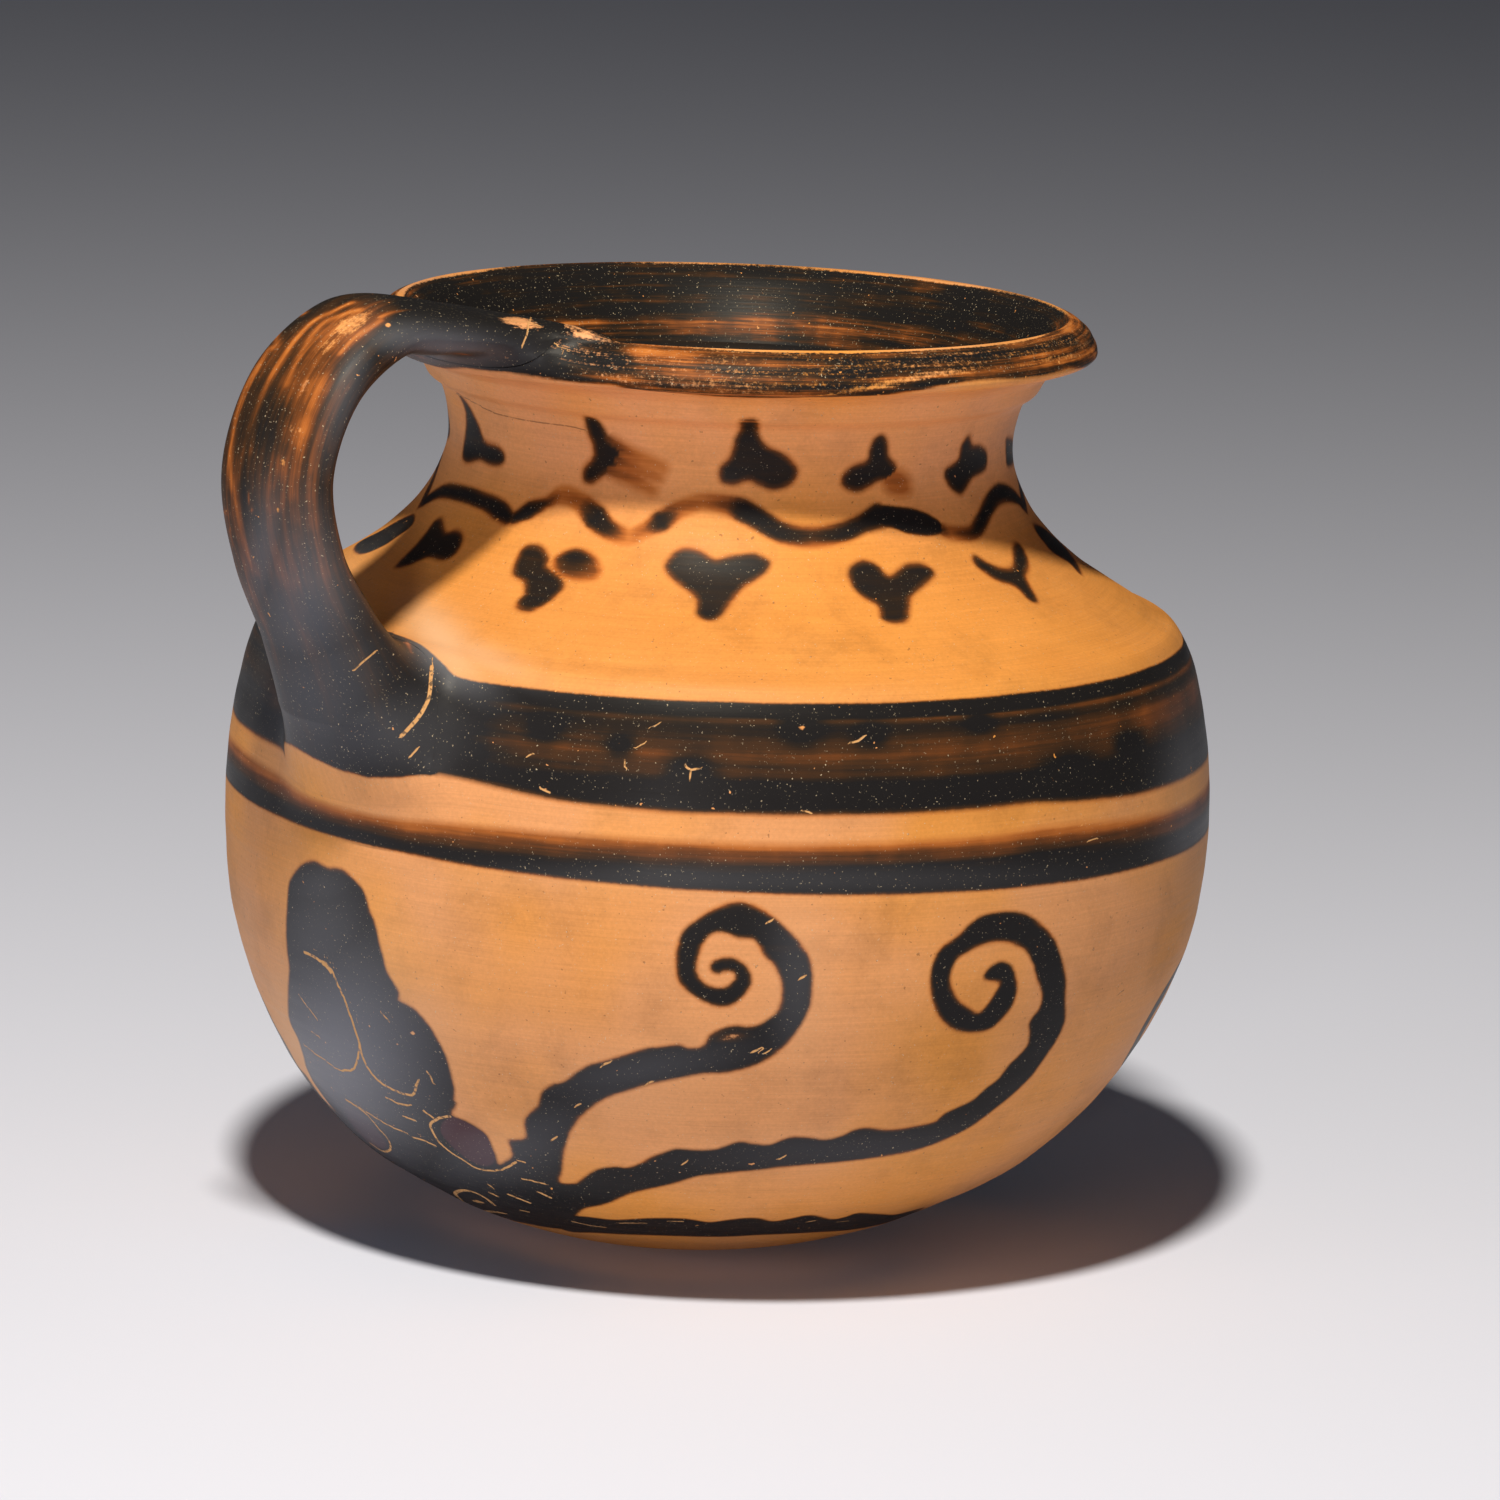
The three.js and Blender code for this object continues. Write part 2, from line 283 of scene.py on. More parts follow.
def turned_wall_tree():
    """The rule of the wheel: an outline turned about an axis that drifts aside below the girth."""
    tree, given, result = new_tree("turned wall", "GeometryNodeTree", [
        ("Outline", "Geometry"), ("Steps Round", "Int", 720), ("Drift", "Float", 0.0),
        ("Drift Angle", "Float", 0.0), ("Girth Height", "Float", 1.0), ("Finish", "Material"),
    ], [("Wall", "Geometry")])
    mesh, across, row = grid_over(tree, given["Outline"], given["Steps Round"])
    place = add_node(tree, "GeometryNodeInputPosition").outputs[0]
    point = split(tree, sampled(tree, given["Outline"], place, row, "FLOAT_VECTOR"))
    angle = times(tree, across, math.tau)
    girth = given["Girth Height"]
    below = reckon(tree, "DIVIDE", minus(tree, girth, point["Z"]), girth, clamp=True)
    drift = times(tree, given["Drift"], times(tree, below, below))
    ways = {"Z": point["Z"]}
    for axis, wave in (("X", "COSINE"), ("Y", "SINE")):
        ways[axis] = plus(tree, times(tree, point["X"], reckon(tree, wave, angle)),
                          times(tree, drift, reckon(tree, wave, given["Drift Angle"])))
    spot = add_node(tree, "ShaderNodeCombineXYZ", ways)
    finished(tree, mesh, spot.outputs[0], given["Finish"], result)
    return tree


turned_wall = turned_wall_tree()
print("turned wall tree:", len(turned_wall.nodes), "nodes")

# %% Running a tree and keeping its mesh


def grown(name, points, tree, values, attributes=()):
    """Runs a tree on a chain of points and returns the result as a plain object."""
    mesh = bpy.data.meshes.new(name + "_line")
    mesh.from_pydata([tuple(p) for p in points], [(i, i + 1) for i in range(len(points) - 1)], [])
    for label, numbers in dict(attributes).items():
        keep(mesh, label, numbers)
    seed = bpy.data.objects.new(name + "_line", mesh)
    bpy.context.scene.collection.objects.link(seed)
    modifier = seed.modifiers.new("grow", "NODES")
    modifier.node_group = tree
    for item in tree.interface.items_tree:
        if item.in_out == "INPUT" and item.name in values:
            modifier[item.identifier] = values[item.name]
    seed.update_tag()
    graph = bpy.context.evaluated_depsgraph_get()
    result = bpy.data.meshes.new_from_object(seed.evaluated_get(graph), depsgraph=graph)
    seed.modifiers.remove(modifier)
    bpy.data.objects.remove(seed)
    bpy.data.meshes.remove(mesh)
    result.name = name
    piece = bpy.data.objects.new(name, result)
    bpy.context.scene.collection.objects.link(piece)
    return piece


def rows_of(mesh, name):
    """The places ("co") or directions ("normal") of the vertices, as an array."""
    numbers = np.empty(len(mesh.vertices) * 3, np.float32)
    mesh.vertices.foreach_get(name, numbers)
    return numbers.reshape(-1, 3).astype(float)


def put_back(mesh, points):
    """Moves the vertices to points in millimetres."""
    mesh.vertices.foreach_set("co", (points * MM).astype(np.float32).ravel())


def keep(mesh, name, values):
    """Stores one number, or three, for each vertex under a name."""
    values = np.ascontiguousarray(values, np.float32)
    kind, label = ("FLOAT_VECTOR", "vector") if values.ndim == 2 else ("FLOAT", "value")
    layer = mesh.attributes.get(name) or mesh.attributes.new(name, kind, "POINT")
    layer.data.foreach_set(label, values.ravel())


# %% [markdown]
# ## The thrown pieces
# The wall is parted where the frame parts it. Each piece has fine rows outside, where the painting will sit,
# and coarse rows inside. The ends of neighbours share their points, and each point gets its shading
# direction from the one outline, so no line shows where two pieces meet, as none shows on the fired pot.

# %% Rows of each thrown piece
LINES = {"skin": skin, "lining": lining, "mouth": mouth}
FLATS = {"axis": 0.0, "rest": 0.0, "floor": DISC_TOP, "top_axis": DISC_TOP}
SPACINGS = {"base_disc": 0.5, "bowl_wall": 0.52, "belly_wall": 0.38,
            "shoulder": 0.38, "neck": 0.38, "lip": 0.28}
LINING_SPACING, MOUTH_SPACING = 4.0, 0.4


def rows_along(side, start, end, spacing):
    """Rows of one outline between two of its corners, as (side, arc)."""
    return [(side, arc) for arc in LINES[side].rows(start, end, spacing)]


def both_sides(name, start, end, inner_start):
    """A closed outline: up the skin, then down the lining."""
    up = rows_along("skin", start, end, SPACINGS[name])
    return up + rows_along("lining", end, inner_start, LINING_SPACING) + up[:1]


def thrown_rows():
    """The rows of each piece. On the flat faces a row is (side, radius)."""
    rest = [("axis", 0.0)] + [("rest", r) for r in np.linspace(2, REST_RADIUS - 1, 9)]
    floor = [("floor", r) for r in np.linspace(DISC_RADIUS - 2, 2, 8)] + [("top_axis", 0.0)]
    lip_up = rows_along("skin", "lip", "crest", SPACINGS["lip"])
    return {
        "base_disc": rest + rows_along("skin", "rest", "disc", SPACINGS["base_disc"]) + floor,
        "bowl_wall": both_sides("bowl_wall", "disc", "girth", "floor"),
        "belly_wall": both_sides("belly_wall", "girth", "shoulder", "girth"),
        "shoulder": both_sides("shoulder", "shoulder", "neck", "shoulder"),
        "neck": both_sides("neck", "neck", "lip", "neck"),
        "lip": lip_up + rows_along("mouth", "crest", "lip", MOUTH_SPACING)[1:] + lip_up[:1],
    }


ROWS = thrown_rows()
print("rows:", {name: len(rows) for name, rows in ROWS.items()})

# %% Turn them
STEPS_ROUND = 720


def row_point(side, value):
    """A row's radius and height."""
    return (value, FLATS[side]) if side in FLATS else tuple(LINES[side].at(value))


def turn_piece(name, rows):
    """One thrown piece, grown from its closed outline."""
    points = np.array([(r, 0, z) for r, z in (row_point(*row) for row in rows)]) * MM
    return grown(name + "_clay", points, turned_wall, {
        "Steps Round": STEPS_ROUND, "Drift": DRIFT * MM, "Drift Angle": DRIFT_ANGLE,
        "Girth Height": GIRTH * MM, "Finish": MATERIALS[FINISHES.get(name, PAINTED)[1]],
    })


thrown = {name: turn_piece(name, rows) for name, rows in ROWS.items()}
for name, piece in thrown.items():
    print(name, len(piece.data.vertices), "points,", len(piece.data.polygons) * 2, "triangles or so")

# %% [markdown]
# ## The handle
# A potter pulls the handle as a long strap, presses one end on the lip, bends it over and thumbs the other
# end on the belly. Its middle line lies in one upright plane, and its section is a rounded oblong that
# widens at both ends. A second tree follows that rule: it reads the middle line, with a width and a
# thickness kept on each of its points, and wraps a section round it.

# %% The handle's middle line
CROWN = RIM + 1.0
UPPER_ROOT = (CREST_RADIUS - 1.4, CROWN - 2.4)
LOWER_ROOT = (GIRTH_RADIUS - 3.0, SHOULDER_FOOT - 10.3)
REACH = (GIRTH_RADIUS + 12.9, LOWER_ROOT[1] + (CROWN - LOWER_ROOT[1]) * 0.684)
STRAP_WIDTH, STRAP_THICKNESS, STRAP_ROUNDNESS = 17.0, 7.0, 0.8
UPPER_ROOT_WIDTH, UPPER_ROOT_THICKNESS = 25.0, 4.0
LOWER_ROOT_WIDTH, LOWER_ROOT_THICKNESS = 23.0, 13.0
ARCH_RUNS = [0, 0.2, 0.4, 0.63, 0.88]
ARCH_LIFTS = [0, 0.5, 0.95, 1]
ARCH_DROP = 0.37
LEG_SHARES = [(0.128, 0.3), (0.449, 0.56), (0.756, 0.79), (1, 1)]
UPPER_SPREAD = [1, 0.375, 0.125, 0, 0, 0, 0, 0, 0, 0]
LOWER_SPREAD = [0, 0, 0, 0, 0, 0, 0, 0.1, 0.5, 1]
UPPER_THIN = [1, 0.53, 0.13, 0, 0, 0, 0, 0, 0, 0]
LOWER_THICK = [0, 0, 0, 0, 0, 0, 0.07, 0.42, 1, 0.85]
TAIL, TAIL_WIDTH, TAIL_THICKNESS = (-6.5, -6.5), 0.75, 0.55
SPANS = len(UPPER_SPREAD)


def handle_corners():
    """The middle line's points as radius and height, from the lip to the belly."""
    out = [UPPER_ROOT[0] + (REACH[0] - UPPER_ROOT[0]) * run for run in ARCH_RUNS]
    high = [UPPER_ROOT[1] + (CROWN - UPPER_ROOT[1]) * lift for lift in ARCH_LIFTS]
    high.append(CROWN + (REACH[1] - CROWN) * ARCH_DROP)
    leg = [(REACH[0] + (LOWER_ROOT[0] - REACH[0]) * run, REACH[1] + (LOWER_ROOT[1] - REACH[1]) * rise)
           for run, rise in LEG_SHARES]
    return list(zip(out, high)) + [REACH] + leg + [(LOWER_ROOT[0] + TAIL[0], LOWER_ROOT[1] + TAIL[1])]


HANDLE_ROWS, HANDLE_COLUMNS = 340, 200
handle_places = np.linspace(0, SPANS, HANDLE_ROWS)
handle_line = smooth(handle_corners(), handle_places)
handle_length = np.concatenate([[0], np.cumsum(np.hypot(*np.diff(handle_line, axis=0).T))])


def sizes_along(size, upper, upper_shares, lower, lower_shares, end_share):
    """A size at each row of the handle. It shrinks over the tail, which lies inside the belly's clay."""
    near_lip, near_belly = (np.interp(handle_places, range(SPANS), shares)
                            for shares in (upper_shares, lower_shares))
    sizes = size + (upper - size) * near_lip + (lower - size) * near_belly
    return sizes * (1 - (1 - end_share) * np.clip(handle_places - (SPANS - 1), 0, 1) ** 1.5)


handle_width = sizes_along(STRAP_WIDTH, UPPER_ROOT_WIDTH, UPPER_SPREAD,
                           LOWER_ROOT_WIDTH, LOWER_SPREAD, TAIL_WIDTH)
handle_thickness = sizes_along(STRAP_THICKNESS, UPPER_ROOT_THICKNESS, UPPER_THIN,
                               LOWER_ROOT_THICKNESS, LOWER_THICK, TAIL_THICKNESS)
print(f"middle line {handle_length[-1]:.1f} mm, reaching {handle_line[:, 0].max():.1f} mm from the axis")

# %% The pulled strap's tree
SIDEWAYS = (0, 1, 0)


def rounded(tree, wave, angle):
    """A cosine or sine with its value pushed outwards, which squares a circle a little."""
    value = reckon(tree, wave, angle)
    size = reckon(tree, "POWER", reckon(tree, "ABSOLUTE", value), STRAP_ROUNDNESS)
    return times(tree, reckon(tree, "SIGN", value), size)


def pulled_strap_tree():
    """The rule of the strap: a rounded oblong, set square to the middle line at each of its points."""
    tree, given, result = new_tree("pulled strap", "GeometryNodeTree", [
        ("Middle Line", "Geometry"), ("Steps Round", "Int", 200), ("Finish", "Material"),
    ], [("Strap", "Geometry")])
    line = given["Middle Line"]
    mesh, across, row = grid_over(tree, line, given["Steps Round"])
    place = add_node(tree, "GeometryNodeInputPosition").outputs[0]
    spot, ahead, behind = (sampled(tree, line, place, at, "FLOAT_VECTOR")
                           for at in (row, plus(tree, row, 1), minus(tree, row, 1)))
    heading = vector_sum(tree, "NORMALIZE", vector_sum(tree, "SUBTRACT", ahead, behind))
    through = vector_sum(tree, "CROSS_PRODUCT", heading, SIDEWAYS)
    angle = times(tree, across, math.tau)
    for name, way, wave in (("width", SIDEWAYS, "COSINE"), ("thickness", through, "SINE")):
        size = add_node(tree, "GeometryNodeInputNamedAttribute", {"Name": name}, data_type="FLOAT").outputs[0]
        reach = times(tree, rounded(tree, wave, angle), sampled(tree, line, size, row))
        step = vector_sum(tree, "SCALE", way, Scale=times(tree, reach, 0.5))
        spot = vector_sum(tree, "ADD", spot, step)
    finished(tree, mesh, spot, given["Finish"], result)
    return tree


pulled_strap = pulled_strap_tree()
CLOSING_GAP = 1e-4 * MM


def pull_handle():
    """The strap, with a closing row of no size before and after its line."""
    points = np.stack([-handle_line[:, 0], 0 * handle_line[:, 0], handle_line[:, 1]], -1) * MM
    start = points[0] - (points[1] - points[0]) * CLOSING_GAP
    end = points[-1] + (points[-1] - points[-2]) * CLOSING_GAP
    sizes = {"width": np.pad(handle_width, 1) * MM, "thickness": np.pad(handle_thickness, 1) * MM}
    return grown("handle_clay", np.vstack([start, points, end]), pulled_strap,
                 {"Steps Round": HANDLE_COLUMNS, "Finish": MATERIALS["slip_on_handle"]}, sizes)


handle = pull_handle()
print("handle:", len(handle.data.vertices), "points,", len(handle.data.polygons) * 2, "triangles or so")

# %% [markdown]
# ## Thumbing the handle on
# Where the strap meets the lip and the belly, the potter smears the clay into a smooth fillet. Two distances
# say how far a point is from the wall and from the strap. A smooth minimum of the two is one rounded joint,
# and the points of both meshes near it are moved onto that joint. What lies inside the other clay sinks a
# little, so that the two skins never fight for the same place.

# %% Distances to the wall and to the strap, charted once
BLOCK = 4000


def blocks(count):
    """Slices that part a long job, so that its tables stay small."""
    return [slice(i, i + BLOCK) for i in range(0, count, BLOCK)]


class Chart:
    """Numbers worked out once on an even grid of radius and height, then read between its points."""

    STEP = 0.25

    def __init__(self, low, high, field):
        self.low = np.array(low, float)
        self.shape = np.ceil((np.array(high) - self.low) / self.STEP).astype(int) + 1
        ways = [self.low[k] + np.arange(self.shape[k]) * self.STEP for k in (0, 1)]
        spots = np.stack(np.meshgrid(*ways, indexing="ij"), -1).reshape(-1, 2)
        parts = [field(spots[block]) for block in blocks(len(spots))]
        self.values = np.concatenate(parts).reshape(*self.shape, -1)

    def at(self, radius, height):
        place = (np.stack([radius, height], -1) - self.low) / self.STEP
        place = np.clip(place, 0, self.shape - 1.001)
        cell = place.astype(int)
        u, v = (place - cell).T[:, :, None]
        i, j = cell.T
        grid = self.values
        return ((grid[i, j] * (1 - u) + grid[i + 1, j] * u) * (1 - v)
                + (grid[i, j + 1] * (1 - u) + grid[i + 1, j + 1] * u) * v)


CHAIN_FOOT = GIRTH - 12
upper_lining = lining.line[lining.line[:, 1] > CHAIN_FOOT][::-1]
wall_chain = np.vstack([skin.line[skin.line[:, 1] > CHAIN_FOOT], mouth.line[1:], upper_lining[1:]])[::2]


def nearest(spots, line):
    """The number of the line's point that lies nearest to each spot."""
    near = [((spots[block, None] - line) ** 2).sum(-1).argmin(1) for block in blocks(len(spots))]
    return np.concatenate(near)


def wall_field(spots):
    """Signed distance from the wall's outline, above zero outside the clay."""
    a, way = wall_chain[:-1], np.diff(wall_chain, axis=0)
    gap = spots[:, None] - a
    share = np.clip((gap * way).sum(-1) / (way**2).sum(-1), 0, 1)
    off = gap - share[..., None] * way
    far = np.hypot(off[..., 0], off[..., 1])
    near = far.argmin(1)
    pick = np.arange(len(near))
    side = np.sign(off[pick, near, 0] * way[near, 1] - off[pick, near, 1] * way[near, 0])
    return (far[pick, near] * side)[:, None]


handle_heading = np.gradient(handle_line, axis=0)
handle_heading /= np.hypot(*handle_heading.T)[:, None]


WELL_INSIDE, END_SHARE = -6.0, 0.1


def strap_field(spots):
    """Depth from the strap's middle line, half its width and thickness there, and how far past an end."""
    near = nearest(spots, handle_line)
    off, head = spots - handle_line[near], handle_heading[near]
    deep = off[:, 0] * head[:, 1] - off[:, 1] * head[:, 0]
    past_root = ((spots - handle_line[-1]) * handle_heading[-1]).sum(-1)
    past_start = -((spots - handle_line[0]) * handle_heading[0]).sum(-1)
    past = np.where(near > HANDLE_ROWS * (1 - END_SHARE), past_root,
                    np.where(near < HANDLE_ROWS * END_SHARE, past_start, WELL_INSIDE))
    halves = handle_width[near] / 2, handle_thickness[near] / 2
    return np.stack([deep, *halves, np.maximum(past, WELL_INSIDE)], -1)


CHART_LOW, CHART_HIGH = (24, GIRTH - 2), (82, RIM + 12)
wall_chart = Chart(CHART_LOW, CHART_HIGH, wall_field)
strap_chart = Chart(CHART_LOW, CHART_HIGH, strap_field)
SECTION_POWER = 2 / STRAP_ROUNDNESS


def wall_distance(points):
    """Signed distance from the wall, above zero outside the clay."""
    return wall_chart.at(np.hypot(points[:, 0], points[:, 1]), points[:, 2])[:, 0]


BENT_RADIUS, BEND_RUN = 50.0, 8.0


def bend_share(radius):
    """How far the strap is curved to the lip's circle: fully at the lip, and not at all further out."""
    return np.clip((BENT_RADIUS - radius) / BEND_RUN, 0, 1)


def unbent_radius(points):
    """Where a point of the curved strap would be along a straight one."""
    radius = -points[:, 0]
    for _ in range(3):
        radius = np.sqrt(points[:, 0] ** 2 + bend_share(radius) * points[:, 1] ** 2)
    return radius


def strap_distance(points):
    """Signed distance from the strap, near enough close to its skin."""
    deep, half_wide, half_thick, past = strap_chart.at(unbent_radius(points), points[:, 2]).T
    u, v = np.abs(points[:, 1]) / half_wide, np.abs(deep) / half_thick
    norm = np.maximum(u**SECTION_POWER + v**SECTION_POWER, 1e-6) ** (1 / SECTION_POWER)
    power = SECTION_POWER - 1
    steep = np.hypot((u / norm) ** power / half_wide, (v / norm) ** power / half_thick)
    return np.maximum((norm - 1) / np.maximum(steep, 1e-3), past)


print("charts:", wall_chart.values.shape, strap_chart.values.shape)

# %% Moving both skins onto the joint
LOWER_FILLET, UPPER_FILLET = 7.0, 5.5
SUNK, SUNK_BY = 0.35, 1.5
JOINT_RADIUS, JOINT_HALF_WIDTH = 25, 24
ON_SKIN, LONGEST_MOVE, MOVES = 0.4, 1.5, 8


def fillet_at(points):
    """The fillet's size, from the belly's up to the lip's."""
    share = np.clip((points[:, 2] - SHOULDER_FOOT) / (LIP_FOOT - SHOULDER_FOOT), 0, 1)
    return LOWER_FILLET + (UPPER_FILLET - LOWER_FILLET) * share


def joint(points):
    """The smooth minimum of the two distances."""
    a, b, k = wall_distance(points), strap_distance(points), fillet_at(points)
    near = np.clip(1 - np.abs(a - b) / k, 0, 1)
    return np.minimum(a, b) - near**2 * k / 4


def slope(points, field, step=0.2):
    """The direction in which a field grows, by small steps both ways."""
    grown_by = np.stack([field(points + way) - field(points - way) for way in np.eye(3) * step], -1)
    return grown_by / np.maximum(np.linalg.norm(grown_by, axis=1), 1e-9)[:, None]


def thumb_on(points, other, own):
    """Moves the points that lie near the other clay onto the joint, and returns which, and their slopes."""
    close = np.flatnonzero((points[:, 2] > GIRTH) & (points[:, 0] < -JOINT_RADIUS)
                           & (np.abs(points[:, 1]) < JOINT_HALF_WIDTH))
    close = close[other(points[close]) < fillet_at(points[close])]
    close = close[np.abs(own(points[close])) < ON_SKIN]
    moved = points[close]
    depth = np.clip(-other(moved) / SUNK_BY, 0, 1)
    for _ in range(MOVES):
        value = joint(moved) + SUNK * depth
        moved = moved - slope(moved, joint) * np.clip(value, -LONGEST_MOVE, LONGEST_MOVE)[:, None]
    points[close] = moved
    return close, slope(moved, joint)


# %% [markdown]
# ## Throwing marks
# Fingers leave shallow rings on a thrown wall, and a strap is never quite even. The marks are a tenth of a
# millimetre deep and only go inwards, so the mug keeps its size. Shading directions come from the one
# outline and these marks, and are the same on both sides of each level joint.

# %% The clay's small unevenness
RINGS, SWAY, RIDGES = 0.022, 0.03, 0.025
LIP_ARC = skin.arc_at("lip")


def throwing(turn, arc):
    """How far the skin lies inside its outline, in millimetres, at a turn in radians and an arc length."""
    slow = np.sin(arc * 0.55 + 0.7 * np.sin(turn + 1)) + 0.6 * np.sin(arc * 1.25 + turn)
    sway = 0.8 * np.sin(2 * turn + 0.4) + 0.5 * np.sin(3 * turn + arc * 0.05)
    ridges = np.clip((arc - LIP_ARC) / 4, 0, 1) * np.sin(arc * 3.7 + 0.5 * np.sin(turn * 2))
    return RINGS * (slow - 1.6) + SWAY * (sway - 1.3) + RIDGES * (ridges - 1)


FACING_STEP = 0.25


def outline_facing(side, value):
    """The direction that an outline faces at a row, as (outwards, upwards)."""
    if side in FLATS:
        return 0.0, 1.0 if FLATS[side] else -1.0
    line = LINES[side]
    run, rise = line.at(value + FACING_STEP) - line.at(value - FACING_STEP)
    if side == "lining":
        run, rise = -run, -rise
    size = math.hypot(run, rise)
    return rise / size, -run / size


def drift_at(height):
    """The base's drift to one side, as x and y."""
    drift = DRIFT * np.clip((GIRTH - height) / GIRTH, 0, 1) ** 2
    return np.stack([drift * math.cos(DRIFT_ANGLE), drift * math.sin(DRIFT_ANGLE)], -1)


def row_and_turn(points, outline_points):
    """The outline row nearest to each point, and its turn about the axis in radians."""
    flat = points[:, :2] - drift_at(points[:, 2])
    turn = np.arctan2(flat[:, 1], flat[:, 0]) % math.tau
    spots = np.stack([np.hypot(flat[:, 0], flat[:, 1]), points[:, 2]], -1)
    return nearest(spots, outline_points), turn


ARC_STEP, TURN_STEP = 0.05, 0.002


def finish_thrown(name, piece):
    """Thumbs on the handle's clay, adds the throwing marks and sets the shading directions."""
    rows = ROWS[name]
    mesh = piece.data
    points = rows_of(mesh, "co") / MM
    row, turn = row_and_turn(points, np.array([row_point(*r) for r in rows]))
    facing = np.array([outline_facing(*r) for r in rows])[row]
    arc = np.array([value for _, value in rows])[row]
    on_skin = np.array([side == "skin" for side, _ in rows])[row]
    normals = np.stack([facing[:, 0] * np.cos(turn), facing[:, 0] * np.sin(turn), facing[:, 1]], -1)
    close, slopes = thumb_on(points, strap_distance, wall_distance)
    normals[close] = slopes
    radius = np.maximum(np.hypot(points[:, 0], points[:, 1]), 1)
    mark = throwing(turn, arc) * on_skin
    lean_arc = (throwing(turn, arc + ARC_STEP) - throwing(turn, arc - ARC_STEP)) / (2 * ARC_STEP) * on_skin
    lean_turn = throwing(turn + TURN_STEP, arc) - throwing(turn - TURN_STEP, arc)
    lean_turn = lean_turn / (2 * TURN_STEP) / radius * on_skin
    round_way = np.stack([-np.sin(turn), np.cos(turn), 0 * turn], -1)
    up_way = np.cross(normals, round_way)
    points += normals * mark[:, None]
    normals -= round_way * lean_turn[:, None] + up_way * lean_arc[:, None]
    normals /= np.linalg.norm(normals, axis=1)[:, None]
    put_back(mesh, points)
    mesh.normals_split_custom_set_from_vertices(normals.tolist())
    return {"points": points, "normals": normals, "turn": turn, "arc": arc,
            "side": np.array([side for side, _ in rows])[row], "joined": len(close)}


clay = {name: finish_thrown(name, piece) for name, piece in thrown.items()}
print("points thumbed onto the handle:", {name: found["joined"] for name, found in clay.items()})

# %% The handle's own unevenness
STRAP_SWAY, STRAP_INSET = 0.09, 0.05


def strap_place(points):
    """The turn round the strap's middle line, from its +Y side over its outer face, and the way along it."""
    flat = np.stack([-points[:, 0], points[:, 2]], -1)
    near = nearest(flat, handle_line)
    off, head = flat - handle_line[near], handle_heading[near]
    deep = -(off[:, 0] * head[:, 1] - off[:, 1] * head[:, 0])
    return np.arctan2(deep / handle_thickness[near], points[:, 1] / handle_width[near]), handle_length[near]


def finish_handle(piece):
    """Bends the strap to the lip, thumbs it on and adds its unevenness."""
    mesh = piece.data
    points = rows_of(mesh, "co") / MM
    turn, far = strap_place(points)
    points[:, 0] = -np.sqrt(points[:, 0] ** 2 - bend_share(-points[:, 0]) * points[:, 1] ** 2)
    thumb_on(points, wall_distance, strap_distance)
    put_back(mesh, points)
    mesh.update()
    normals = rows_of(mesh, "normal")
    sway = np.sin(far * 0.11 + turn) + np.sin(far * 0.23 + 2 * turn + 1) + 0.5 * np.sin(3 * turn + far * 0.05)
    points += normals * (STRAP_SWAY * (sway / 2.5 - 1) - STRAP_INSET)[:, None]
    put_back(mesh, points)
    mesh.update()
    return {"points": points, "normals": normals, "turn": turn, "far": far}


strap = finish_handle(handle)
print("handle finished:", len(strap["points"]), "points")

# %% [markdown]
# ## Where the camera stands
# The painting was traced from a photograph of 1500 by 1500 pixels, so a traced point has to find its
# place on the clay. The camera comes first for that reason: a ray from it through the point meets the wall
# there.

# %% The camera
PHOTO_SIDE = 1500
FOCAL_PIXELS = 7519.1
SENSOR = 36.0
CAMERA_PLACE = np.array([-636.4, -636.4, 228.75])
CAMERA_YAW, CAMERA_PITCH, CAMERA_ROLL = 0.00416, 0.18704, 0.03736
PHOTO_TURN = math.radians(-45)


def camera_ways():
    """The camera's right, up and forward directions."""
    forward = np.array([math.sin(CAMERA_YAW) * math.cos(CAMERA_PITCH),
                        math.cos(CAMERA_YAW) * math.cos(CAMERA_PITCH), -math.sin(CAMERA_PITCH)])
    level = np.array([math.cos(CAMERA_YAW), -math.sin(CAMERA_YAW), 0.0])
    above = np.cross(level, forward)
    cos, sin = math.cos(CAMERA_ROLL), math.sin(CAMERA_ROLL)
    turned = np.array(Matrix.Rotation(PHOTO_TURN, 3, "Z"))
    return [turned @ way for way in (cos * level + sin * above, cos * above - sin * level, forward)]


RIGHT, UP, FORWARD = camera_ways()
camera_data = bpy.data.cameras.new("camera")
camera_data.sensor_width = SENSOR
camera_data.lens = FOCAL_PIXELS / PHOTO_SIDE * SENSOR
camera_data.clip_end = 50
camera = bpy.data.objects.new("camera", camera_data)
camera.matrix_world = (Matrix.Translation(CAMERA_PLACE * MM)
                       @ Matrix(np.stack([RIGHT, UP, -FORWARD], 1).tolist()).to_4x4())
bpy.context.scene.collection.objects.link(camera)
bpy.context.scene.camera = camera
print(f"camera {np.linalg.norm(CAMERA_PLACE):.0f} mm away, lens {camera_data.lens:.1f} mm")

# %% From traced points to the clay
PIXELS_PER_MM = 8.35
RAY_START, RAY_END, RAY_STEP = 800, 1010, 0.4


def rays(pixels):
    """Directions from the camera through points of the photograph."""
    pixels = np.asarray(pixels, float)[:, :2] - PHOTO_SIDE / 2
    ways = FORWARD * FOCAL_PIXELS + RIGHT * pixels[:, :1] - UP * pixels[:, 1:]
    return ways / np.linalg.norm(ways, axis=1)[:, None]


